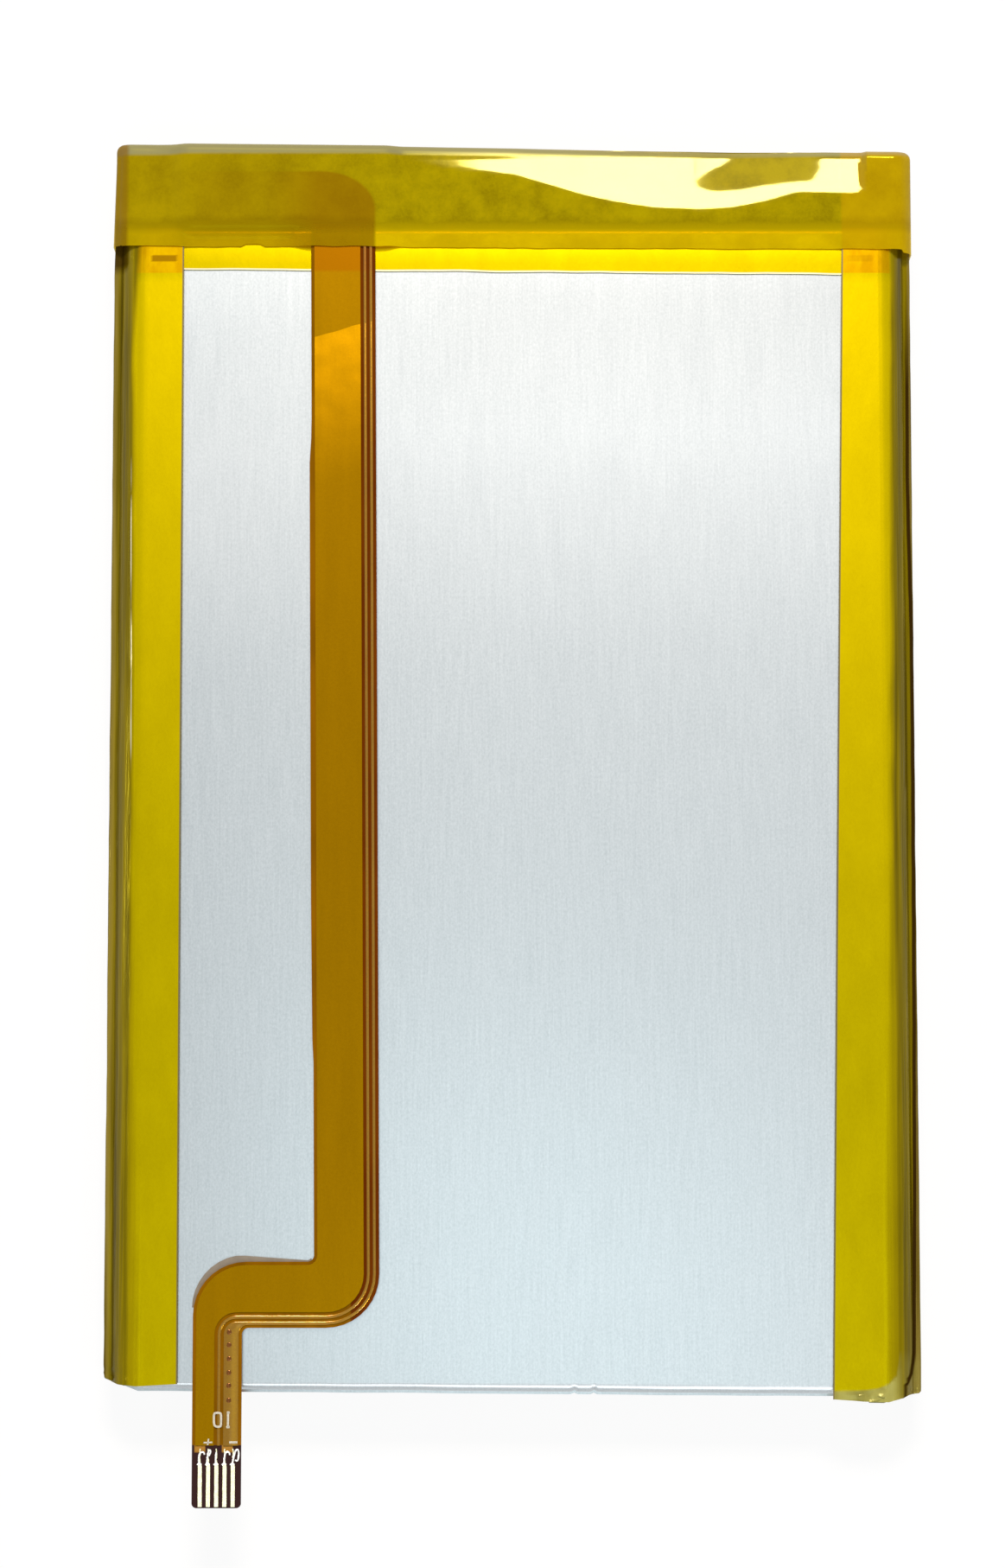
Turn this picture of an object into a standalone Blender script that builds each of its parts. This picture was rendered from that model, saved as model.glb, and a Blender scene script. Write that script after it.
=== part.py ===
"""Lithium polymer pouch battery, about 50 x 78 x 5 mm, lying on its back with its face up.

A silver foil pouch with folded side seals, bound along both sides and across the terrace end with
amber polyimide tape. A flat cable runs from the protection board under the end tape, down the face,
and ends in a contact tongue with five gold fingers beyond the bottom edge.

Cell coordinates: x across the cell, y up from the bottom fold to the terrace end, z up from the
surface that the battery lies on. The cell frame empty moves them all to the middle of the model.
"""
import math

import bmesh
import bpy
from mathutils import Vector

MM = 0.001

# Foil pouch
CUP_WIDTH = 49.1 * MM
CUP_LENGTH = 72.5 * MM
CUP_DEPTH = 2.15 * MM
SIDE_SHOULDER = 1.6 * MM
END_SHOULDER = 0.45 * MM
CORNER_ACROSS = 2.4 * MM
CORNER_ALONG = 1.9 * MM
SEAL_THICKNESS = 0.24 * MM
SEAL_GAP = 0.12 * MM
SEAL_HEIGHT = 1.25 * MM
SEAL_BEND = 0.08 * MM
TERRACE_LENGTH = 4.5 * MM
FOLD_CREASE = 0.15 * MM
CREASE_CLIP = 0.85 * MM

# Tape and adhesive
TAPE = 0.06 * MM
GLUE = 0.03 * MM
LEFT_TAPE_FACE_TOP = 4.42 * MM
LEFT_TAPE_FACE_BOTTOM = 4.6 * MM
LEFT_TAPE_START = 0.3 * MM
RIGHT_TAPE_FACE_TOP = 4.24 * MM
RIGHT_TAPE_FACE_BOTTOM = 5.47 * MM
RIGHT_TAPE_OVERHANG = 0.75 * MM
RIGHT_TAPE_CORNER_RISE = 0.35 * MM
BACK_TAPE_LEG = 4.2 * MM
TERRACE_TAPE_ON_FACE = 3.0 * MM
TERRACE_TAPE_EDGE = 0.7 * MM
END_TAPE_LENGTH = 6.55 * MM
END_TAPE_SKEW = 0.25 * MM
END_TAPE_WAVE = 0.1 * MM
END_TAPE_SIDE_ROUND = 1.0 * MM
END_TAPE_EDGE_ROUND = 0.45 * MM
END_TAPE_WAVES = (7.0, 17.0)

# Flat cable
FILM = 0.12 * MM
COPPER = 0.035 * MM
HEAD_GAP = 0.3 * MM
HEAD_WIDTH = 3.15 * MM
HEAD_INSET = 4.25 * MM
HEAD_ROUND = 2.6 * MM
RUN_INSET_TOP = 13.95 * MM
RUN_INSET_BOTTOM = 14.45 * MM
RUN_WIDTH = 4.0 * MM
JOG_HEIGHT = 3.78 * MM
JOG_WIDTH = 4.02 * MM
JOG_OUTER_ROUND = 3.25 * MM
INNER_ROUND = 0.4 * MM
TONGUE_INSET = 6.58 * MM
TONGUE_WIDTH = 3.0 * MM
TONGUE_REACH = 7.1 * MM
TONGUE_ROUND = 0.3 * MM
TRACK_MARGIN = 0.2 * MM
TRACK_GAP = 0.2 * MM
THIN_TRACK = 0.17 * MM
NEGATIVE_FIELD = 0.9 * MM
RETURN_TRACK = 2.4 * MM
FINGER_COUNT = 5
FINGER_PITCH = 0.5 * MM
FINGER_WIDTH = 0.3 * MM
FINGER_LENGTH = 3.5 * MM
FINGER_MARGIN = 0.08 * MM
STIFFENER = 0.2 * MM
STIFFENER_START = 0.9 * MM
ADHESIVE_MARGIN = 0.4 * MM

# Protection board and what is on it
BOARD = 0.5 * MM
BOARD_MARGIN = 0.15 * MM
PAD = 0.15 * MM
PAD_WIDTH = 2.4 * MM
POSITIVE_TAB_INSET = 1.35 * MM
TAB = 0.1 * MM
TAB_WIDTH = 2.5 * MM
TAB_BEND = 0.25 * MM
TAB_REACH = 0.58 * MM
TAB_LAP = 1.9 * MM
TAB_SLACK = 0.03 * MM
TAB_FILM = 0.12 * MM
TAB_FILM_LENGTH = 0.22 * MM
TAB_FILM_MARGIN = 0.5 * MM
SWITCH_SIZE = (2.0 * MM, 1.6 * MM, 0.75 * MM)
CHIP_SIZE = (1.4 * MM, 1.0 * MM, 0.55 * MM)
RESISTOR_SIZE = (1.0 * MM, 0.5 * MM, 0.35 * MM)
CAPACITOR_SIZE = (0.9 * MM, 0.5 * MM, 0.5 * MM)
THERMISTOR_SIZE = (0.5 * MM, 1.0 * MM, 0.45 * MM)
PART_SPACING = 0.2 * MM

# Levels above the surface that the battery lies on
BACK = 3.0 * (GLUE + TAPE)
SEAM = BACK + CUP_DEPTH
FACE = SEAM + CUP_DEPTH
SIDE_TAPE_OFF = 2.0 * GLUE + 1.5 * TAPE
RETURN_BASE = FACE + 2.0 * GLUE + TAPE
FILM_BASE = RETURN_BASE + COPPER + GLUE
FILM_TOP = FILM_BASE + FILM
COPPER_BASE = FILM_TOP + GLUE
COPPER_TOP = COPPER_BASE + COPPER
END_TAPE_INNER = COPPER_TOP + GLUE
BOARD_TOP = FILM_BASE - GLUE
BOARD_BASE = BOARD_TOP - BOARD
PARTS_TOP = BOARD_BASE - GLUE
TAB_LEVEL = PARTS_TOP - PAD - GLUE - TAB / 2.0

# Places in cell coordinates
HALF_CUP = CUP_WIDTH / 2.0
FLAT_HALF = HALF_CUP - SIDE_SHOULDER
SEAL_INNER = HALF_CUP + SEAL_GAP
SEAL_OUTER = SEAL_INNER + SEAL_THICKNESS
TERRACE_END = CUP_LENGTH + TERRACE_LENGTH
TERRACE_TOP = SEAM + SEAL_THICKNESS / 2.0
SIDE_TAPE_OUTER = SEAL_OUTER + GLUE + TAPE
TAB_OUTER = TERRACE_END + TAB_REACH
CELL_TOP = TAB_OUTER + GLUE + TAPE
TONGUE_TIP = -TONGUE_REACH
END_TAPE_HALF = SIDE_TAPE_OUTER + GLUE + TAPE / 2.0
TOP_CORNER = CELL_TOP + END_TAPE_SKEW * (1.0 - END_TAPE_EDGE_ROUND / END_TAPE_HALF)
MIDDLE_Y = (TOP_CORNER + TONGUE_TIP) / 2.0
HEAD_LOW = CUP_LENGTH + HEAD_GAP
HEAD_HIGH = HEAD_LOW + HEAD_WIDTH
HEAD_LEFT = -HALF_CUP + HEAD_INSET
RUN_X_TOP = -HALF_CUP + RUN_INSET_TOP
RUN_X_BOTTOM = -HALF_CUP + RUN_INSET_BOTTOM
JOG_LOW = JOG_HEIGHT
JOG_HIGH = JOG_HEIGHT + JOG_WIDTH
TONGUE_X = -HALF_CUP + TONGUE_INSET
TONGUE_LEFT = TONGUE_X - TONGUE_WIDTH / 2.0
TONGUE_RIGHT = TONGUE_X + TONGUE_WIDTH / 2.0
FINGER_LOW = TONGUE_TIP + FINGER_MARGIN
FINGER_HIGH = FINGER_LOW + FINGER_LENGTH
TRACK_FOOT = FINGER_HIGH + GLUE

ARC_STEPS = 9


# Scene, collections and the helpers that every part uses

def clear_scene():
    """Remove whatever the scene holds."""
    for obj in list(bpy.data.objects):
        bpy.data.objects.remove(obj, do_unlink=True)


def make_collection(name):
    """Add a collection to the scene."""
    collection = bpy.data.collections.new(name)
    bpy.context.scene.collection.children.link(collection)
    return collection


clear_scene()
BATTERY = make_collection("lithium_polymer_battery")
CUTTERS = make_collection("cutters")
CELL_FRAME = bpy.data.objects.new("cell_frame", None)
CELL_FRAME.location = (0.0, -MIDDLE_Y, 0.0)
BATTERY.objects.link(CELL_FRAME)


def make_material(name, colour, roughness, metallic=0.0):
    """A Principled material of one colour."""
    material = bpy.data.materials.new(name)
    material.use_nodes = True
    shader = material.node_tree.nodes["Principled BSDF"]
    shader.inputs["Base Color"].default_value = (*colour, 1.0)
    shader.inputs["Roughness"].default_value = roughness
    shader.inputs["Metallic"].default_value = metallic
    material.diffuse_color = (*colour, 1.0)
    return material


FOIL = make_material("silver_foil", (0.78, 0.80, 0.82), 0.38, 1.0)
AMBER_TAPE = make_material("amber_tape", (0.80, 0.62, 0.02), 0.22)
END_AMBER = make_material("end_tape_amber", (0.42, 0.34, 0.02), 0.38)
CABLE_AMBER = make_material("cable_amber", (0.30, 0.10, 0.02), 0.25)
COATED_COPPER = make_material("coated_copper", (0.55, 0.27, 0.02), 0.28, 0.6)
BARE_COPPER = make_material("bare_copper", (0.72, 0.38, 0.22), 0.30, 1.0)
GOLD = make_material("gold_plate", (0.95, 0.80, 0.42), 0.18, 1.0)
STIFF_AMBER = make_material("stiff_amber", (0.45, 0.25, 0.04), 0.45)
CLEAR_GLUE = make_material("adhesive", (0.85, 0.84, 0.78), 0.60)
BOARD_GREEN = make_material("board_green", (0.04, 0.20, 0.08), 0.45)
CHIP_BLACK = make_material("chip_black", (0.03, 0.03, 0.03), 0.50)
CERAMIC = make_material("ceramic_tan", (0.45, 0.33, 0.22), 0.45)
RESISTOR_BLACK = make_material("resistor_black", (0.05, 0.05, 0.06), 0.40)
NICKEL = make_material("nickel", (0.66, 0.64, 0.60), 0.30, 1.0)
ALUMINIUM = make_material("aluminium", (0.82, 0.82, 0.83), 0.35, 1.0)
TAB_POLYMER = make_material("tab_polymer", (0.75, 0.74, 0.70), 0.50)
FOAM = make_material("foam_grey", (0.16, 0.16, 0.17), 0.90)


def add_object(name, data, material, location=(0.0, 0.0, 0.0)):
    """Put a mesh or curve in the battery's collection, carried by the cell frame."""
    obj = bpy.data.objects.new(name, data)
    obj.data.materials.append(material)
    obj.location = location
    obj.parent = CELL_FRAME
    BATTERY.objects.link(obj)
    return obj


def add_cutter(name, data, location=(0.0, 0.0, 0.0)):
    """Put a Boolean's second shape in the cutters' collection."""
    obj = bpy.data.objects.new(name, data)
    obj.location = location
    obj.parent = CELL_FRAME
    obj.hide_render = True
    obj.display_type = 'WIRE'
    CUTTERS.objects.link(obj)
    return obj


def finish_mesh(bm, name):
    """Turn a bmesh into a mesh with outward faces and smooth shading on its round parts."""
    bmesh.ops.recalc_face_normals(bm, faces=bm.faces[:])
    mesh = bpy.data.meshes.new(name)
    bm.to_mesh(mesh)
    bm.free()
    mesh.shade_smooth()
    mesh.set_sharp_from_angle(angle=math.radians(35.0))
    return mesh


def arc(centre, radius, start_deg, end_deg, steps=ARC_STEPS):
    """Points of an arc in a plane, from one angle to another."""
    points = []
    for step in range(steps + 1):
        angle = math.radians(start_deg + (end_deg - start_deg) * step / steps)
        points.append((centre[0] + radius * math.cos(angle), centre[1] + radius * math.sin(angle)))
    return points


def rounded(corners, closed=True, steps=ARC_STEPS):
    """Outline through (x, y, radius) corners, each rounded with an arc of its radius."""
    points = []
    count = len(corners)
    for index, (x, y, radius) in enumerate(corners):
        is_end = not closed and index in (0, count - 1)
        if is_end or radius <= 0.0:
            points.append((x, y))
            continue
        here = Vector((x, y))
        before = (Vector(corners[index - 1][:2]) - here).normalized()
        after = (Vector(corners[(index + 1) % count][:2]) - here).normalized()
        half_angle = before.angle(after) / 2.0
        centre = here + (before + after).normalized() * (radius / math.sin(half_angle))
        first = here + before * (radius / math.tan(half_angle)) - centre
        turn = first.angle_signed(here + after * (radius / math.tan(half_angle)) - centre)
        start = math.atan2(first.y, first.x)
        for step in range(steps + 1):
            angle = start - turn * step / steps
            points.append((centre.x + radius * math.cos(angle), centre.y + radius * math.sin(angle)))
    return points


def beside(corners, distance):
    """The line of an open run of (x, y, radius) corners, moved to its left by a distance."""
    moved = []
    count = len(corners)
    for index, (x, y, radius) in enumerate(corners):
        here = Vector((x, y))
        into = here - Vector(corners[max(index - 1, 0)][:2])
        out = Vector(corners[min(index + 1, count - 1)][:2]) - here
        into = (into if into.length > 0.0 else out).normalized()
        out = (out if out.length > 0.0 else into).normalized()
        left_in = Vector((-into.y, into.x))
        left_out = Vector((-out.y, out.x))
        mitre = (left_in + left_out) / (1.0 + left_in.dot(left_out))
        turns_left = into.x * out.y - into.y * out.x > 0.0
        round_off = radius - distance if turns_left else radius + distance
        moved.append((here.x + mitre.x * distance, here.y + mitre.y * distance, max(round_off, 0.0)))
    return moved


def flat_piece(name, outlines, thickness, base, material):
    """A flat sheet part: a filled 2D curve with half its thickness as extrude."""
    curve = bpy.data.curves.new(name, 'CURVE')
    curve.dimensions = '2D'
    curve.fill_mode = 'BOTH'
    curve.extrude = thickness / 2.0
    for outline in outlines:
        spline = curve.splines.new('POLY')
        spline.points.add(len(outline) - 1)
        for point, (x, y) in zip(spline.points, outline):
            point.co = (x, y, 0.0, 1.0)
        spline.use_cyclic_u = True
    return add_object(name, curve, material, (0.0, 0.0, base + thickness / 2.0))


def rectangle(x_low, x_high, y_low, y_high, radius=0.0, steps=3):
    """Outline of a rectangle with rounded corners."""
    corners = [(x_low, y_low), (x_high, y_low), (x_high, y_high), (x_low, y_high)]
    return rounded([(x, y, radius) for x, y in corners], steps=steps)


def strip_between(name, first_chain, second_chain):
    """Open sheet between two chains of (x, y, z) points with the same number of points."""
    bm = bmesh.new()
    chains = []
    for chain in (first_chain, second_chain):
        verts = [bm.verts.new(point) for point in chain]
        edges = [bm.edges.new(pair) for pair in zip(verts, verts[1:])]
        chains.append(edges)
    bmesh.ops.bridge_loops(bm, edges=chains[0] + chains[1])
    return finish_mesh(bm, name)


def add_thickness(obj, thickness):
    """Give an open sheet its thickness, half on each side."""
    solidify = obj.modifiers.new("thickness", 'SOLIDIFY')
    solidify.thickness = thickness
    solidify.offset = 0.0
    solidify.use_even_offset = True
    return obj


# Foil pouch: two drawn cups, the seam sheet between them and the folded side seals

def cup_ring(side_inset, end_inset, drop_side, drop_end):
    """One ring of the cup: a rectangle with oval corners, each point at its own height."""
    across = CORNER_ACROSS - side_inset
    along = CORNER_ALONG - end_inset
    corner_x = HALF_CUP - CORNER_ACROSS
    corner_low = CORNER_ALONG
    corner_high = CUP_LENGTH - CORNER_ALONG
    corners = [(corner_x, corner_high, 0.0), (-corner_x, corner_high, 90.0),
               (-corner_x, corner_low, 180.0), (corner_x, corner_low, 270.0)]
    ring = []
    for x, y, start in corners:
        for step in range(ARC_STEPS + 1):
            angle = math.radians(start + 90.0 * step / ARC_STEPS)
            share = math.cos(angle) ** 2
            drop = drop_side * share + drop_end * (1.0 - share)
            ring.append((x + across * math.cos(angle), y + along * math.sin(angle), CUP_DEPTH - drop))
    return ring


def make_cup():
    """Upper cup, open at the seam: a straight wall and an oval shoulder up to the flat face."""
    bm = bmesh.new()
    rings = [cup_ring(0.0, 0.0, CUP_DEPTH, CUP_DEPTH)]
    for step in range(ARC_STEPS + 1):
        angle = math.radians(90.0 * step / ARC_STEPS)
        inset = 1.0 - math.cos(angle)
        drop = 1.0 - math.sin(angle)
        rings.append(cup_ring(SIDE_SHOULDER * inset, END_SHOULDER * inset,
                              SIDE_SHOULDER * drop, END_SHOULDER * drop))
    loops = []
    for ring in rings:
        verts = [bm.verts.new(point) for point in ring]
        loops.append([bm.edges.new((verts[index - 1], verts[index])) for index in range(len(verts))])
    for lower, upper in zip(loops, loops[1:]):
        bmesh.ops.bridge_loops(bm, edges=lower + upper)
    bmesh.ops.contextual_create(bm, geom=loops[-1])
    return finish_mesh(bm, "cup")


def seal_channel():
    """Seam sheet with both side seals turned up: one section drawn along the cell."""
    half = SEAL_THICKNESS / 2.0
    bend = SEAL_BEND
    outer_bend = SEAL_BEND + SEAL_THICKNESS
    right = [(0.0, -half)]
    right += arc((SEAL_OUTER - outer_bend, outer_bend - half), outer_bend, -90.0, 0.0, 4)
    right += [(SEAL_OUTER, SEAL_HEIGHT), (SEAL_INNER, SEAL_HEIGHT)]
    right += arc((SEAL_INNER - bend, half + bend), bend, 0.0, -90.0, 3)
    right += [(0.0, half)]
    left = [(-x, z) for x, z in reversed(right[1:-1])]
    bm = bmesh.new()
    verts = [bm.verts.new((x, -FOLD_CREASE, z)) for x, z in right + left]
    face = bm.faces.new(verts)
    drawn = bmesh.ops.extrude_face_region(bm, geom=[face])
    new_verts = [item for item in drawn["geom"] if isinstance(item, bmesh.types.BMVert)]
    bmesh.ops.translate(bm, verts=new_verts, vec=(0.0, TERRACE_END + FOLD_CREASE, 0.0))
    for side in (-1.0, 1.0):
        clip_corner(bm, side)
    return finish_mesh(bm, "seal_channel")


def clip_corner(bm, side):
    """Cut the seam sheet's corner off where the bottom fold meets a side seal."""
    through = (side * FLAT_HALF, -FOLD_CREASE, 0.0)
    outward = Vector((side * CREASE_CLIP, FLAT_HALF - SEAL_OUTER, 0.0)).normalized()
    cut = bmesh.ops.bisect_plane(bm, geom=bm.verts[:] + bm.edges[:] + bm.faces[:], dist=1e-7,
                                 plane_co=through, plane_no=outward, clear_outer=True)
    rim = [item for item in cut["geom_cut"] if isinstance(item, bmesh.types.BMEdge)]
    bmesh.ops.holes_fill(bm, edges=rim, sides=0)


def build_pouch():
    """The sealed pouch as one solid: both cups joined with the seam sheet and its seals."""
    pouch = add_object("pouch_cell", make_cup(), FOIL, (0.0, 0.0, SEAM))
    mirror = pouch.modifiers.new("lower_cup", 'MIRROR')
    mirror.use_axis = (False, False, True)
    mirror.merge_threshold = 0.00001
    channel = add_cutter("seal_channel", seal_channel(), (0.0, 0.0, SEAM))
    join = pouch.modifiers.new("seals", 'BOOLEAN')
    join.operation = 'UNION'
    join.solver = 'EXACT'
    join.object = channel
    return pouch


# Amber tape down both long sides, from the face over the folded seal to the back

def side_tape_section(face_leg, back_leg):
    """Section (x, z) of a side tape on the right: face leg, shoulder, seal, and back leg."""
    radius = SIDE_SHOULDER + SIDE_TAPE_OFF
    skin = GLUE + TAPE / 2.0
    seal_top = SEAM + SEAL_HEIGHT + skin
    rise = seal_top - (FACE - SIDE_SHOULDER)
    leave = math.degrees(math.asin(min(rise / radius, 0.95)))
    outer = SEAL_OUTER + skin
    seal_foot = SEAM - SEAL_THICKNESS / 2.0 - skin
    face_level = FACE + SIDE_TAPE_OFF
    back_level = BACK - SIDE_TAPE_OFF
    section = [(SIDE_TAPE_OUTER - face_leg, face_level)]
    section += arc((FLAT_HALF, FACE - SIDE_SHOULDER), radius, 90.0, leave)
    section += rounded([(SEAL_INNER, seal_top, 0.0), (outer, seal_top, SEAL_BEND),
                        (outer, seal_foot, 0.0)], closed=False, steps=3)
    section += arc((FLAT_HALF, BACK + SIDE_SHOULDER), radius, -leave, -90.0)
    section += [(SIDE_TAPE_OUTER - back_leg, back_level)]
    return section


def build_side_tape(name, side, face_legs, y_low, corner_rise):
    """One side tape, set a little off parallel, so its face leg has a top and a bottom width."""
    y_high = TERRACE_END
    top_leg, bottom_leg = face_legs
    slant = bottom_leg - top_leg
    top = side_tape_section(top_leg, BACK_TAPE_LEG)
    bottom = side_tape_section(bottom_leg, BACK_TAPE_LEG - slant)
    upper = [(side * x, y_high, z) for x, z in top]
    lower = []
    for x, z in bottom:
        outward = max(x - FLAT_HALF, 0.0) / (SIDE_TAPE_OUTER - FLAT_HALF)
        lower.append((side * x, y_low + corner_rise * outward, z))
    tape = add_object(name, strip_between(name, lower, upper), AMBER_TAPE)
    return add_thickness(tape, TAPE)


def build_side_tapes():
    """Both side tapes; the right one runs past the bottom fold."""
    build_side_tape("left_side_tape", -1.0, (LEFT_TAPE_FACE_TOP, LEFT_TAPE_FACE_BOTTOM),
                    LEFT_TAPE_START, 0.0)
    build_side_tape("right_side_tape", 1.0, (RIGHT_TAPE_FACE_TOP, RIGHT_TAPE_FACE_BOTTOM),
                    -RIGHT_TAPE_OVERHANG, RIGHT_TAPE_CORNER_RISE)


# Inner tape: over the end of the face, down the terrace wall and along the terrace

def terrace_tape_chain(x):
    """Points of the terrace tape at one x, bent down with the pouch's side shoulder."""
    skin = GLUE + TAPE / 2.0
    past_flat = max(abs(x) - FLAT_HALF, 0.0)
    radius = SIDE_SHOULDER + skin
    drop = radius - math.sqrt(radius ** 2 - past_flat ** 2)
    wall_y = CUP_LENGTH + skin
    floor_z = TERRACE_TOP + skin
    bend = SEAL_THICKNESS
    on_face = [(CUP_LENGTH - TERRACE_TAPE_ON_FACE, FACE + skin)]
    on_face += arc((CUP_LENGTH - END_SHOULDER, FACE - END_SHOULDER), END_SHOULDER + skin, 90.0, 0.0)
    chain = [(x, y, z - drop) for y, z in on_face]
    chain += [(x, y, z) for y, z in arc((wall_y + bend, floor_z + bend), bend, 180.0, 270.0, 3)]
    chain.append((x, TERRACE_END, floor_z))
    return chain


def build_terrace_tape():
    """The terrace tape, one sheet through several stations across the cell."""
    edge = FLAT_HALF + TERRACE_TAPE_EDGE
    middle = (FLAT_HALF + edge) / 2.0
    stations = [-edge, -middle, -FLAT_HALF, FLAT_HALF, middle, edge]
    bm = bmesh.new()
    rows = []
    for x in stations:
        verts = [bm.verts.new(point) for point in terrace_tape_chain(x)]
        rows.append([bm.edges.new(pair) for pair in zip(verts, verts[1:])])
    for first, second in zip(rows, rows[1:]):
        bmesh.ops.bridge_loops(bm, edges=first + second)
    tape = add_object("terrace_tape", finish_mesh(bm, "terrace_tape"), AMBER_TAPE)
    return add_thickness(tape, TAPE)


# Outer tape, wrapped round the whole top end like a cap that is open towards the cell

def build_end_tape():
    """A box of tape, open on the cell's side, with rounded sides and a wavy, slanted lower edge."""
    half_width = END_TAPE_HALF
    wave_points = 24
    low_z = TAPE / 2.0
    high_z = END_TAPE_INNER + TAPE / 2.0
    y_high = CELL_TOP - TAPE / 2.0
    y_low = CELL_TOP - END_TAPE_LENGTH
    size = Vector((2.0 * half_width, y_high - y_low, high_z - low_z))
    bm = bmesh.new()
    bmesh.ops.create_cube(bm, size=1.0)
    bmesh.ops.scale(bm, vec=size, verts=bm.verts[:])
    bmesh.ops.translate(bm, vec=(0.0, (y_high + y_low) / 2.0, (high_z + low_z) / 2.0), verts=bm.verts[:])
    along = [edge for edge in bm.edges if abs(edge.verts[0].co.y - edge.verts[1].co.y) > size.y / 2.0]
    bmesh.ops.bevel(bm, geom=along, offset=END_TAPE_SIDE_ROUND, offset_type='OFFSET', segments=ARC_STEPS,
                    profile=0.5, affect='EDGES', material=-1)
    end_faces = [face for face in bm.faces if face.normal.y > 0.9]
    bmesh.ops.bevel(bm, geom=end_faces[0].edges[:], offset=END_TAPE_EDGE_ROUND, offset_type='OFFSET',
                    segments=4, profile=0.5, affect='EDGES', material=-1)
    open_faces = [face for face in bm.faces if face.normal.y < -0.9]
    bmesh.ops.delete(bm, geom=open_faces, context='FACES_ONLY')
    long_edges = [edge for edge in bm.edges if edge.is_boundary and edge.calc_length() > half_width]
    bmesh.ops.subdivide_edges(bm, edges=long_edges, cuts=wave_points - 1)
    for vert in bm.verts:
        across = vert.co.x / half_width
        if vert.is_boundary and vert.co.z > SEAM:
            slow, fast = (math.sin(count * across) for count in END_TAPE_WAVES)
            vert.co.y += END_TAPE_WAVE * slow * fast
        vert.co.y -= END_TAPE_SKEW * across
    tape = add_object("end_tape", finish_mesh(bm, "end_tape"), END_AMBER)
    return add_thickness(tape, TAPE)


# Flat cable: film, copper tracks, contact fingers and what backs them

def film_outline():
    """Outline of the whole flat cable: head, run, jog and tongue."""
    half = RUN_WIDTH / 2.0
    return rounded([
        (HEAD_LEFT, HEAD_LOW, INNER_ROUND),
        (RUN_X_TOP - half, HEAD_LOW, INNER_ROUND),
        (RUN_X_BOTTOM - half, JOG_HIGH, INNER_ROUND),
        (TONGUE_LEFT, JOG_HIGH, JOG_OUTER_ROUND),
        (TONGUE_LEFT, TONGUE_TIP, TONGUE_ROUND),
        (TONGUE_RIGHT, TONGUE_TIP, TONGUE_ROUND),
        (TONGUE_RIGHT, JOG_LOW, INNER_ROUND),
        (RUN_X_BOTTOM + half, JOG_LOW, JOG_OUTER_ROUND),
        (RUN_X_TOP + half, HEAD_HIGH, HEAD_ROUND),
        (HEAD_LEFT, HEAD_HIGH, INNER_ROUND)])


def right_edge():
    """The cable's outer edge as an open line: along the head, down the run, the jog and the tongue."""
    half = RUN_WIDTH / 2.0
    return [(HEAD_LEFT + TRACK_MARGIN, HEAD_HIGH, 0.0),
            (RUN_X_TOP + half, HEAD_HIGH, HEAD_ROUND),
            (RUN_X_BOTTOM + half, JOG_LOW, JOG_OUTER_ROUND),
            (TONGUE_RIGHT, JOG_LOW, INNER_ROUND),
            (TONGUE_RIGHT, TRACK_FOOT, 0.0)]


def inside_edge(distance, foot_x):
    """A track's edge: beside the cable's outer edge, then down the tongue at a given x."""
    line = beside(right_edge(), -distance)
    fork = (foot_x, line[3][1], INNER_ROUND + distance)
    return line[:3] + [fork, (foot_x, TRACK_FOOT, 0.0)]


def track_lines():
    """Distances of the track edges from the cable's right edge, and their x on the tongue."""
    outer = TRACK_MARGIN
    field_right = TONGUE_RIGHT - TRACK_MARGIN
    field_left = field_right - NEGATIVE_FIELD
    sense_right = field_left - TRACK_GAP
    sense_left = sense_right - THIN_TRACK
    return {
        "negative_right": (outer, field_right),
        "negative_left": (outer + THIN_TRACK, field_left),
        "sense_right": (outer + THIN_TRACK + TRACK_GAP, sense_right),
        "sense_left": (outer + 2.0 * THIN_TRACK + TRACK_GAP, sense_left),
        "positive_right": (outer + 2.0 * (THIN_TRACK + TRACK_GAP), sense_left - TRACK_GAP),
    }


def build_tracks():
    """Copper on the front of the film: wide positive, thin sense and negative with its field."""
    lines = track_lines()
    half = RUN_WIDTH / 2.0
    left_edge = [(HEAD_LEFT + TRACK_MARGIN, HEAD_LOW + TRACK_MARGIN, 0.0),
                 (RUN_X_TOP - half + TRACK_MARGIN, HEAD_LOW + TRACK_MARGIN, INNER_ROUND + TRACK_MARGIN),
                 (RUN_X_BOTTOM - half + TRACK_MARGIN, JOG_HIGH - TRACK_MARGIN, INNER_ROUND + TRACK_MARGIN),
                 (TONGUE_LEFT + TRACK_MARGIN, JOG_HIGH - TRACK_MARGIN, JOG_OUTER_ROUND - TRACK_MARGIN),
                 (TONGUE_LEFT + TRACK_MARGIN, TRACK_FOOT, 0.0)]
    tracks = {
        "positive_track": (left_edge, inside_edge(*lines["positive_right"])),
        "sense_track": (inside_edge(*lines["sense_left"]), inside_edge(*lines["sense_right"])),
        "negative_track": (inside_edge(*lines["negative_left"]), inside_edge(*lines["negative_right"])),
    }
    for name, (left, right) in tracks.items():
        outline = rounded(left, closed=False) + list(reversed(rounded(right, closed=False)))
        flat_piece(name, [outline], COPPER, COPPER_BASE, COATED_COPPER)


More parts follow.
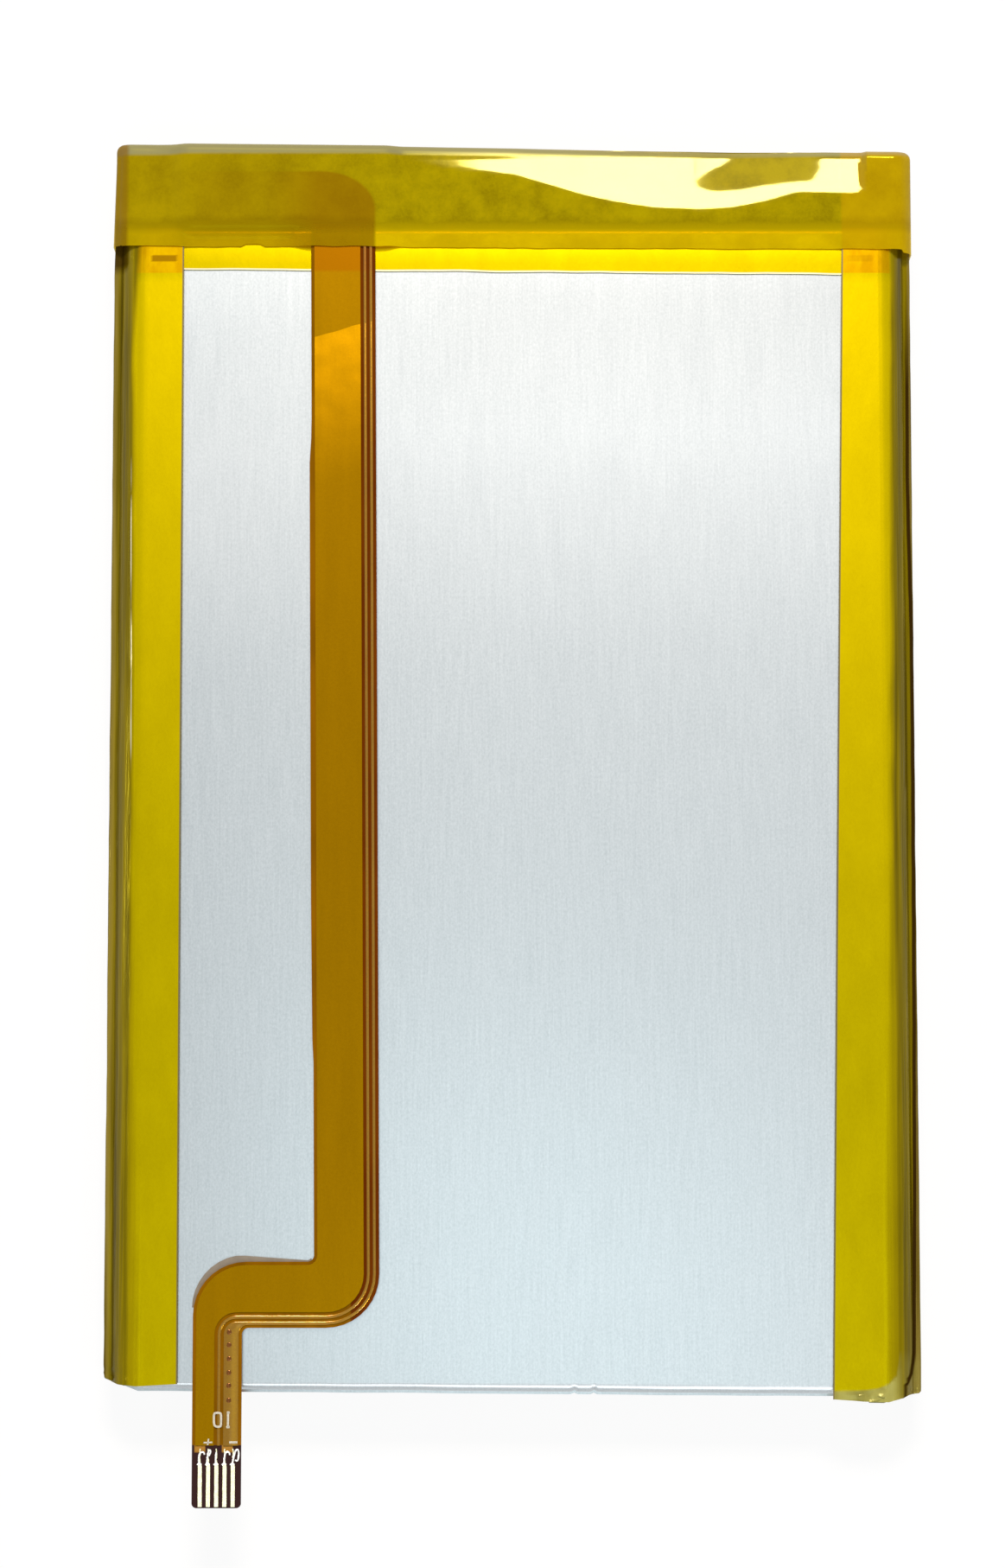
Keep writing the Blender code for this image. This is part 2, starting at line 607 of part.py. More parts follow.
def build_return_track():
    """Copper on the back of the film, from the head to just past the last through hole."""
    line = [(RUN_X_TOP, HEAD_LOW, 0.0),
            (RUN_X_BOTTOM, (JOG_LOW + JOG_HIGH) / 2.0, RUN_WIDTH / 2.0 - TRACK_MARGIN),
            (TONGUE_X, (JOG_LOW + JOG_HIGH) / 2.0, RUN_WIDTH / 2.0 - TRACK_MARGIN),
            (TONGUE_X, -STIFFENER_START + TRACK_GAP, 0.0)]
    half = RETURN_TRACK / 2.0
    left = rounded(beside(line, half), closed=False)
    right = rounded(beside(line, -half), closed=False)
    flat_piece("return_track", [left + list(reversed(right))], COPPER, RETURN_BASE, BARE_COPPER)


def build_fingers():
    """Gold contact fingers, evenly spaced about the tongue's middle."""
    for index in range(FINGER_COUNT):
        x = TONGUE_X + (index - (FINGER_COUNT - 1) / 2.0) * FINGER_PITCH
        outline = rectangle(x - FINGER_WIDTH / 2.0, x + FINGER_WIDTH / 2.0, FINGER_LOW, FINGER_HIGH)
        flat_piece(f"contact_finger_{index + 1}", [outline], COPPER, COPPER_BASE, GOLD)


def build_cable():
    """The flat cable with all that belongs to it."""
    flat_piece("flex_film", [film_outline()], FILM, FILM_BASE, CABLE_AMBER)
    build_tracks()
    build_return_track()
    build_fingers()
    stiffener = rectangle(TONGUE_LEFT + FINGER_MARGIN, TONGUE_RIGHT - FINGER_MARGIN,
                          FINGER_LOW, -STIFFENER_START, TONGUE_ROUND)
    flat_piece("tongue_stiffener", [stiffener], STIFFENER, FILM_BASE - GLUE - STIFFENER, STIFF_AMBER)
    top_y = CUP_LENGTH - TERRACE_TAPE_ON_FACE - TRACK_GAP
    lean = (RUN_X_TOP - RUN_X_BOTTOM) / (HEAD_LOW - JOG_LOW)
    top_x = RUN_X_BOTTOM + lean * (top_y - JOG_LOW)
    half = RUN_WIDTH / 2.0 - ADHESIVE_MARGIN
    low_y = JOG_LOW + JOG_OUTER_ROUND
    adhesive = [(top_x - half, top_y), (RUN_X_BOTTOM - half, low_y), (RUN_X_BOTTOM + half, low_y),
                (top_x + half, top_y)]
    flat_piece("flex_adhesive", [adhesive], TAPE, FACE + GLUE, CLEAR_GLUE)


# Protection board under the head, the parts on it, and the tabs that reach it

def bevelled_box(name, size, centre, material, bevel=0.04 * MM):
    """A small part's body: a box with a narrow bevel on its edges."""
    bm = bmesh.new()
    bmesh.ops.create_cube(bm, size=1.0)
    bmesh.ops.scale(bm, vec=size, verts=bm.verts[:])
    bmesh.ops.bevel(bm, geom=bm.edges[:], offset=bevel, offset_type='OFFSET', segments=1, profile=0.5,
                    affect='EDGES', material=-1)
    return add_object(name, finish_mesh(bm, name), material, centre)


def board_span():
    """The board's low and high x and y, inside the head of the flat cable."""
    return (HEAD_LEFT + BOARD_MARGIN, RUN_X_TOP + RUN_WIDTH / 2.0 - BOARD_MARGIN,
            HEAD_LOW + BOARD_MARGIN, HEAD_HIGH - BOARD_MARGIN)


def tab_centres():
    """x of the negative and the positive tab, at the two ends of the board."""
    x_low, x_high = board_span()[:2]
    return x_low + BOARD_MARGIN + TAB_WIDTH / 2.0, x_high - POSITIVE_TAB_INSET - TAB_WIDTH / 2.0


def mount_part(name, size, left, high, material):
    """Place a part on the board's underside by its left and upper edges."""
    centre = (left + size[0] / 2.0, high - size[1] / 2.0, PARTS_TOP - size[2] / 2.0)
    bevelled_box(name, size, centre, material)


def build_board_parts():
    """Switch, chip and small parts in three columns between the two weld pads."""
    y_high = board_span()[3] - BOARD_MARGIN
    negative_x = tab_centres()[0]
    first = negative_x + TAB_WIDTH / 2.0 + PART_SPACING
    second = first + SWITCH_SIZE[0] + PART_SPACING
    third = second + CHIP_SIZE[0] + PART_SPACING
    mount_part("switch_transistors", SWITCH_SIZE, first, y_high, CHIP_BLACK)
    below_switch = y_high - SWITCH_SIZE[1] - PART_SPACING
    mount_part("capacitor_1", CAPACITOR_SIZE, first, below_switch, CERAMIC)
    mount_part("capacitor_2", CAPACITOR_SIZE, first + CAPACITOR_SIZE[0] + PART_SPACING, below_switch, CERAMIC)
    mount_part("protection_chip", CHIP_SIZE, second, y_high, CHIP_BLACK)
    below_chip = y_high - CHIP_SIZE[1] - PART_SPACING
    mount_part("resistor_1", RESISTOR_SIZE, second, below_chip, RESISTOR_BLACK)
    mount_part("resistor_2", RESISTOR_SIZE, second, below_chip - RESISTOR_SIZE[1] - PART_SPACING,
               RESISTOR_BLACK)
    mount_part("thermistor", THERMISTOR_SIZE, third, y_high, CERAMIC)


def build_component_pad():
    """Foam between the terrace and the tallest part, so the board can't be pressed down."""
    y_low, y_high = board_span()[2:]
    negative_x, positive_x = tab_centres()
    clear = TAB_WIDTH / 2.0 + PART_SPACING
    base = TERRACE_TOP + 2.0 * GLUE + TAPE
    top = PARTS_TOP - SWITCH_SIZE[2] - GLUE
    outline = rectangle(negative_x + clear, positive_x - clear, y_low, y_high, BOARD_MARGIN)
    flat_piece("component_pad", [outline], top - base, base, FOAM)


def build_board():
    """The board, its two weld pads, its parts and the foam pad under them."""
    x_low, x_high, y_low, y_high = board_span()
    board = rounded([(x_low, y_low, BOARD_MARGIN), (x_high, y_low, BOARD_MARGIN),
                     (x_high, y_high, HEAD_ROUND - BOARD_MARGIN), (x_low, y_high, BOARD_MARGIN)])
    flat_piece("protection_board", [board], BOARD, BOARD_BASE, BOARD_GREEN)
    for name, x in zip(("negative_weld_pad", "positive_weld_pad"), tab_centres()):
        outline = rectangle(x - PAD_WIDTH / 2.0, x + PAD_WIDTH / 2.0,
                            y_low + BOARD_MARGIN, y_high - BOARD_MARGIN, BOARD_MARGIN)
        flat_piece(name, [outline], PAD, PARTS_TOP - PAD, NICKEL)
    build_board_parts()
    build_component_pad()


def tab_path():
    """The tab's line (y, z): out of the seal, up the end and back in under the board."""
    outer = TAB_OUTER - TAB / 2.0
    return rounded([(TERRACE_END + GLUE, SEAM, 0.0), (outer, SEAM, TAB_BEND), (outer, TAB_LEVEL, TAB_BEND),
                    (HEAD_HIGH - BOARD_MARGIN - TAB_LAP, TAB_LEVEL, 0.0)], closed=False, steps=4)


def build_tabs():
    """Both tabs with their polymer films at the edge of the seal."""
    metals = {"negative": NICKEL, "positive": ALUMINIUM}
    for pole, x in zip(metals, tab_centres()):
        path = tab_path()
        first = [(-TAB_WIDTH / 2.0, y, z) for y, z in path]
        second = [(TAB_WIDTH / 2.0, y, z) for y, z in path]
        name = f"{pole}_tab"
        tab = add_object(name, strip_between(name, first, second), metals[pole], (x, 0.0, 0.0))
        add_thickness(tab, TAB)
        build_tab_film(f"{pole}_tab_film", x)


def build_tab_film(name, x):
    """A flat sleeve round the tab, standing at the edge of the seal."""
    half_slot = TAB_WIDTH / 2.0 + TAB_SLACK
    slot_height = TAB / 2.0 + TAB_SLACK
    half_width = TAB_WIDTH / 2.0 + TAB_FILM_MARGIN
    height = slot_height + TAB_FILM
    outlines = [rectangle(-half_width, half_width, -height, height),
                rectangle(-half_slot, half_slot, -slot_height, slot_height)]
    film = flat_piece(name, outlines, TAB_FILM_LENGTH, 0.0, TAB_POLYMER)
    film.rotation_euler = (math.radians(90.0), 0.0, 0.0)
    film.location = (x, TERRACE_END + GLUE + TAB_FILM_LENGTH / 2.0, SEAM)
    return film


build_pouch()
build_side_tapes()
build_terrace_tape()
build_end_tape()
build_cable()
build_board()
build_tabs()
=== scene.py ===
import math

import bmesh
import bpy
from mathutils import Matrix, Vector, noise


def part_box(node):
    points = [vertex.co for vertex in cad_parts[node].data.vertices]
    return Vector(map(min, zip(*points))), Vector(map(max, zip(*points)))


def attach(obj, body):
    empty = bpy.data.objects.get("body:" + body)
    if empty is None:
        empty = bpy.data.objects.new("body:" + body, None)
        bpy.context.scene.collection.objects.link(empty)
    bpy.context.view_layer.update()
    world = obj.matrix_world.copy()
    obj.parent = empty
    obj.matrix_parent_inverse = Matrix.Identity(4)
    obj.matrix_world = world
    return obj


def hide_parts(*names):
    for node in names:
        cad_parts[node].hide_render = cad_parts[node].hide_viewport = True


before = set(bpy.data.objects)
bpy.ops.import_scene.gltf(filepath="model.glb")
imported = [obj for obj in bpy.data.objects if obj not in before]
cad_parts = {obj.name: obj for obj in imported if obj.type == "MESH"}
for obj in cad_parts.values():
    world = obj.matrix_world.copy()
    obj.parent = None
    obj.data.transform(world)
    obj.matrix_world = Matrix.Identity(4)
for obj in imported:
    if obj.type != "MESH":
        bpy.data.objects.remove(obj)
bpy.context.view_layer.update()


# The place: a plain white sheet, a bright window behind the far end of the battery, soft and small
# lamps on the near and left sides, and the camera nearly straight above.

MM = 0.001
scene = bpy.context.scene
scene.view_settings.view_transform = 'Standard'


def node(tree, kind, inputs=None, **settings):
    """Add a shader node; a socket in inputs is linked, and any other value is set."""
    made = tree.nodes.new(kind)
    for name, value in settings.items():
        setattr(made, name, value)
    for key, value in (inputs or {}).items():
        if isinstance(value, bpy.types.NodeSocket):
            tree.links.new(value, made.inputs[key])
        else:
            made.inputs[key].default_value = value
    return made


def calculate(tree, operation, first, second=0.0):
    """One step of arithmetic on two values."""
    return node(tree, "ShaderNodeMath", {0: first, 1: second}, operation=operation).outputs[0]


def times(tree, first, second):
    """Two values multiplied."""
    return calculate(tree, 'MULTIPLY', first, second)


def plus(tree, first, second):
    """Two values added."""
    return calculate(tree, 'ADD', first, second)


def shows_white(tree):
    """1 for what the camera, metal and glass see, 0 for what lights the battery."""
    path = node(tree, "ShaderNodeLightPath")
    seen = calculate(tree, 'MAXIMUM', path.outputs["Is Camera Ray"], path.outputs["Is Glossy Ray"])
    return calculate(tree, 'MAXIMUM', seen, path.outputs["Is Transmission Ray"])


def make_world():
    """A pale, even room that shows as plain white."""
    world = bpy.data.worlds.new("studio")
    scene.world = world
    world.use_nodes = True
    tree = world.node_tree
    tree.nodes.clear()
    room = node(tree, "ShaderNodeBackground", {"Color": (0.93, 0.97, 1.0, 1.0), "Strength": 0.35})
    white = node(tree, "ShaderNodeBackground", {"Color": (1.0, 1.0, 1.0, 1.0), "Strength": 1.0})
    mix = node(tree, "ShaderNodeMixShader", {0: shows_white(tree), 1: room.outputs[0], 2: white.outputs[0]})
    node(tree, "ShaderNodeOutputWorld", {"Surface": mix.outputs[0]})


def make_floor():
    """The white sheet, which keeps a little of the battery's shadow."""
    bm = bmesh.new()
    bmesh.ops.create_grid(bm, x_segments=1, y_segments=1, size=2.0)
    bmesh.ops.translate(bm, verts=bm.verts[:], vec=(0.0, 0.0, -0.05 * MM))
    mesh = bpy.data.meshes.new("white_sheet")
    bm.to_mesh(mesh)
    bm.free()
    material = bpy.data.materials.new("white_sheet")
    material.use_nodes = True
    tree = material.node_tree
    tree.nodes.clear()
    paper = node(tree, "ShaderNodeBsdfDiffuse", {"Color": (0.86, 0.86, 0.86, 1.0)})
    glow = node(tree, "ShaderNodeEmission", {"Color": (1.0, 1.0, 1.0, 1.0), "Strength": 1.0})
    share = times(tree, shows_white(tree), 0.92)
    mix = node(tree, "ShaderNodeMixShader", {0: share, 1: paper.outputs[0], 2: glow.outputs[0]})
    node(tree, "ShaderNodeOutputMaterial", {"Surface": mix.outputs[0]})
    mesh.materials.append(material)
    floor = bpy.data.objects.new("white_sheet", mesh)
    scene.collection.objects.link(floor)


def lamp(name, azimuth, elevation, width, height, radiance, colour):
    """A rectangular lamp 1 m from the battery, aimed at it; azimuth 0 is the near side."""
    light = bpy.data.lights.new(name, 'AREA')
    light.shape = 'RECTANGLE'
    light.size = width
    light.size_y = height
    light.energy = radiance * math.pi * width * height
    light.color = colour
    made = bpy.data.objects.new(name, light)
    turn, rise = math.radians(azimuth), math.radians(elevation)
    place = Vector((math.sin(turn) * math.cos(rise), -math.cos(turn) * math.cos(rise), math.sin(rise)))
    made.location = place
    made.rotation_euler = place.to_track_quat('Z', 'Y').to_euler()
    made.visible_camera = False
    scene.collection.objects.link(made)


def make_camera():
    """Nearly straight above, turned 7.5 degrees towards the near end."""
    data = bpy.data.cameras.new("camera")
    data.sensor_width = 36.0
    data.lens = 117.2
    data.clip_start = 0.01
    camera = bpy.data.objects.new("camera", data)
    tilt, distance = math.radians(7.5), 0.3173
    aim = Vector((-0.595, 2.048, 3.0)) * MM
    camera.location = aim + Vector((0.0, -math.sin(tilt), math.cos(tilt))) * distance
    camera.rotation_euler = (tilt, 0.0, 0.0)
    scene.collection.objects.link(camera)
    scene.camera = camera


make_world()
make_floor()
lamp("window", 179.0, 52.0, 0.30, 0.17, 68.5, (1.0, 0.88, 0.78))
lamp("upper_lamp", -4.0, 82.0, 0.25, 0.20, 1.3, (0.73, 0.96, 1.0))
lamp("front_lamp", 0.0, 40.0, 0.5, 0.5, 2.0, (1.0, 1.0, 1.0))
lamp("small_near_lamp", 42.0, 58.0, 0.06, 0.05, 110.0, (1.0, 1.0, 1.0))
lamp("small_left_lamp", 262.0, 30.0, 0.12, 0.05, 30.0, (1.0, 1.0, 0.97))
make_camera()


# The foil pouch: aluminium laminate, drawn into two cups, folded over at the near end and heat
# sealed round the edge. Its outer face is finely brushed along the cell.

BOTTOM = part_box("pouch_cell")[0].y + 0.15 * MM
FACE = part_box("pouch_cell")[1].z


def copy_of(name):
    """A CAD node's shape with its loose triangles joined into whole faces."""
    bm = bmesh.new()
    bm.from_mesh(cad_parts[name].data)
    bmesh.ops.remove_doubles(bm, verts=bm.verts[:], dist=0.0005 * MM)
    bmesh.ops.dissolve_limit(bm, angle_limit=math.radians(0.5), verts=bm.verts[:], edges=bm.edges[:])
    return bm


def score(bm, point, normal, above=-1.0):
    """Cut a shape along a plane, in the faces that stand above a level."""
    faces = [face for face in bm.faces if face.calc_center_median().z > above]
    edges = list({edge for face in faces for edge in face.edges})
    verts = list({vert for face in faces for vert in face.verts})
    bmesh.ops.bisect_plane(bm, geom=verts + edges + faces, dist=0.0005 * MM, plane_co=point, plane_no=normal)


def slice_up(bm, axis, low, high, step, above=-1.0):
    """Cut a shape across an axis at even steps, so that it can bend there."""
    normal = Vector([1.0 if index == axis else 0.0 for index in range(3)])
    for index in range(1, int((high - low) / step) + 1):
        score(bm, normal * (low + index * step), normal, above)


def ripple(point, size, seed=0.0):
    """Smooth noise from -1 to 1 whose waves are about size wide."""
    return noise.noise(Vector(point) / size + Vector((seed, seed * 0.7, 0.0)))


def ramp(value, low, high):
    """0 below low, 1 above high, even between them."""
    return min(max((value - low) / (high - low), 0.0), 1.0)


def narrow(co):
    """The left corner of the terrace end is pressed in a little."""
    co.x += 0.2 * MM * ramp(co.y, BOTTOM + 69.5 * MM, BOTTOM + 76.5 * MM) * ramp(-co.x, 20.5 * MM, 24.2 * MM)


def add_piece(bm, name, finish, nodes=(), sharp=32.0):
    """Make the finished piece, let it ride on the battery and stand for its CAD nodes."""
    bm.normal_update()
    for face in bm.faces:
        face.smooth = True
    for edge in bm.edges:
        edge.smooth = edge.calc_face_angle(0.0) < math.radians(sharp)
    mesh = bpy.data.meshes.new(name)
    bm.to_mesh(mesh)
    bm.free()
    mesh.materials.append(finish)
    piece = bpy.data.objects.new(name, mesh)
    scene.collection.objects.link(piece)
    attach(piece, "root")
    if nodes:
        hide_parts(*nodes)
    return piece


def start_finish(name):
    """A new material with a Principled shader; gives it, its tree and the shader."""
    material = bpy.data.materials.new(name)
    material.use_nodes = True
    tree = material.node_tree
    return material, tree, tree.nodes["Principled BSDF"]


def grain(tree, scale, detail=3.0, rough=0.55):
    """Noise on Object coordinates, stretched by a scale for each axis, in waves a metre."""
    place = node(tree, "ShaderNodeTexCoord")
    spread = node(tree, "ShaderNodeMapping", {"Vector": place.outputs["Object"], "Scale": scale})
    return node(tree, "ShaderNodeTexNoise", {"Vector": spread.outputs[0], "Scale": 1.0, "Detail": detail,
                                             "Roughness": rough}).outputs["Fac"]


def between(tree, value, low, high, to_low=0.0, to_high=1.0):
    """Map a value from one range to another, held at both ends."""
    return node(tree, "ShaderNodeMapRange", {"Value": value, "From Min": low, "From Max": high,
                                             "To Min": to_low, "To Max": to_high}).outputs[0]


def blend_colour(tree, share, first, second):
    """Mix two colours by a share."""
    mix = node(tree, "ShaderNodeMix", data_type='RGBA')
    for socket, value in ((mix.inputs[0], share), (mix.inputs[6], first), (mix.inputs[7], second)):
        if isinstance(value, bpy.types.NodeSocket):
            tree.links.new(value, socket)
        elif isinstance(value, tuple):
            socket.default_value = (*value, 1.0)
        else:
            socket.default_value = value
    return mix.outputs[2]


def relief(tree, height, depth, onto=None):
    """Bump from a height, with its depth in metres."""
    inputs = {"Height": height, "Distance": depth, "Strength": 1.0}
    if onto is not None:
        inputs["Normal"] = onto
    return node(tree, "ShaderNodeBump", inputs).outputs[0]


def object_axis(tree, axis):
    """One Object coordinate, in metres."""
    place = node(tree, "ShaderNodeTexCoord")
    return node(tree, "ShaderNodeSeparateXYZ", {0: place.outputs["Object"]}).outputs[axis]


def swell(tree):
    """The pouch is a little swollen: its face turns away by up to two degrees towards its edges."""
    across = calculate(tree, 'SUBTRACT', object_axis(tree, 0), 6.8 * MM)
    across = times(tree, across, across)
    length = object_axis(tree, 1)
    length = times(tree, length, length)
    height = times(tree, plus(tree, times(tree, across, 260.0), 0.80), across)
    height = plus(tree, height, times(tree, length, 0.44))
    return relief(tree, times(tree, height, -1.0), 1.0)


def foil_grain(tree):
    """The foil's fine surface: brushed streaks along the cell, and an even speckle."""
    streaks = grain(tree, (9500.0, 260.0, 260.0), 3.0, 0.6)
    speckle = grain(tree, (8500.0, 5500.0, 8500.0), 2.0, 0.7)
    return streaks, speckle


def foil_finish():
    """Brushed aluminium laminate: fine streaks and speckle, broad soft waves, a few pits.

    Painted shade makes it darker to the left and at the far end; painted light makes it a little paler between the
    middle and the far end.
    """
    material, tree, shader = start_finish("silver_foil")
    streaks, speckle = foil_grain(tree)
    broad = grain(tree, (900.0, 160.0, 400.0), 3.0, 0.6)
    waves = grain(tree, (70.0, 45.0, 70.0), 1.0, 0.4)
    tone = plus(tree, times(tree, between(tree, streaks, 0.25, 0.75), 0.36),
                times(tree, between(tree, speckle, 0.25, 0.75), 0.64))
    place = node(tree, "ShaderNodeTexCoord").outputs["Object"]
    pits = node(tree, "ShaderNodeTexVoronoi", {"Vector": place, "Scale": 160.0}).outputs["Distance"]
    x, y = object_axis(tree, 0), object_axis(tree, 1)
    # painted shade: a lit and a shaded copy of the foil's colour, the shaded one to the left
    out_of_left_shade = between(tree, x, -20.0 * MM, -2.0 * MM)
    colour = blend_colour(tree, out_of_left_shade,
                          blend_colour(tree, tone, (0.372, 0.412, 0.432), (0.517, 0.557, 0.577)),
                          blend_colour(tree, tone, (0.395, 0.435, 0.455), (0.545, 0.585, 0.605)))
    # painted shade: darker towards the far end, less so on the left
    far_end_shade = between(tree, y, BOTTOM + 59.5 * MM, BOTTOM + 68.0 * MM)
    colour = blend_colour(tree, times(tree, far_end_shade, times(tree, out_of_left_shade, 0.19)), colour, (0.0, 0.0, 0.0))
    # painted light: a little paler between the middle and the far end
    past_middle = times(tree, between(tree, y, BOTTOM + 44.0 * MM, BOTTOM + 53.0 * MM),
                        between(tree, y, BOTTOM + 58.0 * MM, BOTTOM + 66.0 * MM, 1.0, 0.0))
    painted_light = between(tree, x, -20.0 * MM, -14.0 * MM, 0.075, 0.035)
    colour = blend_colour(tree, times(tree, past_middle, painted_light), colour, (1.0, 1.0, 1.0))
    colour = blend_colour(tree, between(tree, pits, 0.012, 0.022, 0.16, 0.0), colour, (0.2, 0.21, 0.22))
    shader.inputs["Metallic"].default_value = 1.0
    tree.links.new(colour, shader.inputs["Base Color"])
    tree.links.new(between(tree, broad, 0.3, 0.7, 0.286, 0.296), shader.inputs["Roughness"])
    bump = relief(tree, waves, 0.012 * MM, swell(tree))
    tree.links.new(relief(tree, streaks, 0.0006 * MM, bump), shader.inputs["Normal"])
    return material


def pouch():
    """The pouch with its fold a little askew and nicked, and its left far corner pressed in."""
    bm = copy_of("pouch_cell")
    low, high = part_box("pouch_cell")
    slice_up(bm, 0, low.x, high.x, 1.0 * MM)
    slice_up(bm, 0, 3.2 * MM, 5.6 * MM, 0.12 * MM)
    slice_up(bm, 1, high.y - 8.0 * MM, high.y, 1.0 * MM)
    for vert in bm.verts:
        co = vert.co
        askew = -0.0075 * (co.x + 3.0 * MM) + 0.03 * MM * ripple((co.x, 0.0, 0.0), 3.0 * MM, 2.2)
        for nick in (3.8 * MM, 5.0 * MM):
            askew += 0.1 * MM * math.exp(-((co.x - nick) / (0.12 * MM)) ** 2)
        co.y += askew * (1.0 - ramp(co.y, BOTTOM + 0.1 * MM, BOTTOM + 0.9 * MM))
        narrow(co)
    return add_piece(bm, "foil_pouch", foil_finish(), ["pouch_cell"])


pouch()


# The two side tapes: clear amber film stuck over each long side, from the face over the folded
# seal to the back. Yellow where it lies on the foil, creased and painted darker as shade where the seal leaves a
# gap.

def reading(tree, name):
    """A value that the piece's vertices carry."""
    return node(tree, "ShaderNodeAttribute", attribute_name=name).outputs["Fac"]


def amber_finish():
    """Clear amber film over foil, changed where its vertices say so (see VALUES below)."""
    material, tree, shader = start_finish("amber_tape")
    speckle = foil_grain(tree)[1]
    cloud = grain(tree, (600.0, 260.0, 600.0), 4.0, 0.6)
    ridges = grain(tree, (2600.0, 45.0, 1500.0), 3.0, 0.6)
    gap, bare, seam_shade = reading(tree, "gap"), reading(tree, "bare"), reading(tree, "seam_shade")
    tone = plus(tree, times(tree, between(tree, cloud, 0.3, 0.7), 0.6),
                times(tree, between(tree, speckle, 0.25, 0.75), 0.4))
    x, y = object_axis(tree, 0), object_axis(tree, 1)
    right = between(tree, x, -15.0 * MM, 15.0 * MM)
    # painted light: on the foil the tape is painted brighter towards the far end and the right, less so from 69.4
    # mm up
    lit = between(tree, plus(tree, y, times(tree, right, 11.0 * MM)), BOTTOM + 33.0 * MM, BOTTOM + 65.0 * MM)
    lit = times(tree, lit, between(tree, y, BOTTOM + 68.9 * MM, BOTTOM + 69.4 * MM, 1.0, 0.4))
    on_foil = blend_colour(tree, lit, blend_colour(tree, tone, (0.375, 0.29, 0.0003), (0.445, 0.35, 0.0003)),
                           blend_colour(tree, tone, (0.50, 0.37, 0.0003), (0.57, 0.43, 0.0003)))
    blotch = between(tree, cloud, 0.42, 0.62)
    doubled = blend_colour(tree, right, blend_colour(tree, blotch, (0.46, 0.25, 0.0003), (0.57, 0.36, 0.0003)),
                           blend_colour(tree, blotch, (0.44, 0.225, 0.0003), (0.56, 0.33, 0.0003)))
    # painted shade: over the seal's gap, and on the strip outside the seam, the film is painted dark as if in
    # shade
    over_gap = blend_colour(tree, between(tree, ridges, 0.35, 0.65), (0.07, 0.05, 0.0003), (0.20, 0.15, 0.0003))
    outer = blend_colour(tree, between(tree, ridges, 0.4, 0.62), (0.085, 0.055, 0.006), (0.20, 0.15, 0.03))
    unbacked = blend_colour(tree, between(tree, cloud, 0.4, 0.6), (0.22, 0.20, 0.035), (0.33, 0.31, 0.07))
    colour = blend_colour(tree, reading(tree, "doubled"), on_foil, doubled)
    colour = blend_colour(tree, reading(tree, "smudge"), colour, (0.26, 0.13, 0.001))
    colour = blend_colour(tree, gap, colour, over_gap)
    colour = blend_colour(tree, reading(tree, "outer"), colour, outer)
    colour = blend_colour(tree, bare, colour, unbacked)
    # painted shade: a near-black line of shadow where the seal's edge meets the tape, and a dark spot at the left
    # far corner
    colour = blend_colour(tree, seam_shade, colour, (0.03, 0.015, 0.002))
    colour = blend_colour(tree, reading(tree, "edge"), colour, (0.17, 0.135, 0.06))
    # painted highlight: pale cut edges and the crease that catches the light
    colour = blend_colour(tree, reading(tree, "painted_highlight"), colour, (0.62, 0.58, 0.40))
    tree.links.new(colour, shader.inputs["Base Color"])
    off_foil = calculate(tree, 'MAXIMUM', gap, calculate(tree, 'MAXIMUM', seam_shade, bare))
    tree.links.new(between(tree, off_foil, 0.0, 1.0, 0.96, 0.08), shader.inputs["Metallic"])
    rough = calculate(tree, 'SUBTRACT', between(tree, gap, 0.0, 0.7, 0.27, 0.16), times(tree, bare, 0.14))
    tree.links.new(calculate(tree, 'MAXIMUM', rough, 0.12), shader.inputs["Roughness"])
    tree.links.new(between(tree, seam_shade, 0.0, 0.5, 0.35, 0.0), shader.inputs["Specular IOR Level"])
    tint = blend_colour(tree, bare, (1.0, 0.88, 0.08), (1.0, 0.97, 0.6))
    tree.links.new(tint, shader.inputs["Specular Tint"])
    bump = relief(tree, cloud, 0.010 * MM, swell(tree))
    bump = relief(tree, times(tree, ridges, gap), 0.09 * MM, bump)
    tree.links.new(bump, shader.inputs["Normal"])
    return material


# What a vertex of an amber tape carries, from 0 to 1: nothing close below it (painted shade), its cut edge, lying
# over the terrace tape, a glue mark, nothing below it at all, the dark seam on the right shoulder (painted shade),
# the strip outside that seam (painted shade), and a painted highlight, on a cut edge or a crease that catches the
# light
VALUES = ("gap", "edge", "doubled", "smudge", "bare", "seam_shade", "outer", "painted_highlight")


def mark(bm, rules):
    """Give every vertex its values from 0 to 1, which the amber finish reads."""
    for name in VALUES:
        layer = bm.verts.layers.float.new(name)
        rule = rules.get(name)
        for vert in bm.verts:
            vert[layer] = min(max(rule(vert.co), 0.0), 1.0) if rule else 0.0


def along(points, value):
    """The height of a bent line at a place; points are (place, height) in rising order."""
    if value <= points[0][0]:
        return points[0][1]
    for (x_low, low), (x_high, high) in zip(points, points[1:]):
        if value <= x_high:
            return low + (high - low) * (value - x_low) / (x_high - x_low)
    return points[-1][1]


AMBER = amber_finish()
OVERLAP_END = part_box("terrace_tape")[1].x
SHOULDER = 3.0 * MM
# Lines on the tapes, as (along, across) in mm: the right tape's seam, painted dark as shade, and the left one's
# crease, painted with a highlight
SEAM = ((0.0, 23.95), (1.0, 24.35), (2.1, 24.56), (11.0, 24.69), (32.3, 24.86), (45.9, 24.88), (56.3, 24.71),
        (70.6, 24.81))
CREASE = ((48.0, -23.68), (66.2, -23.85))
# The right tape's low end, in mm: where the bare lip starts, as (across, along), and the lip's flat
# facets, as the limits across, the limits along and how much the low limit leans
CORNER = ((20.0, -0.05), (21.6, 0.02), (22.3, 0.12), (22.9, 0.35), (23.44, 0.9), (23.6, 1.7))
FACETS = ((22.2, 22.7, -0.38, -0.10, 0.2), (21.6, 22.55, -0.85, -0.47, -0.35), (21.02, 21.48, -0.36, -0.2, 0.0))


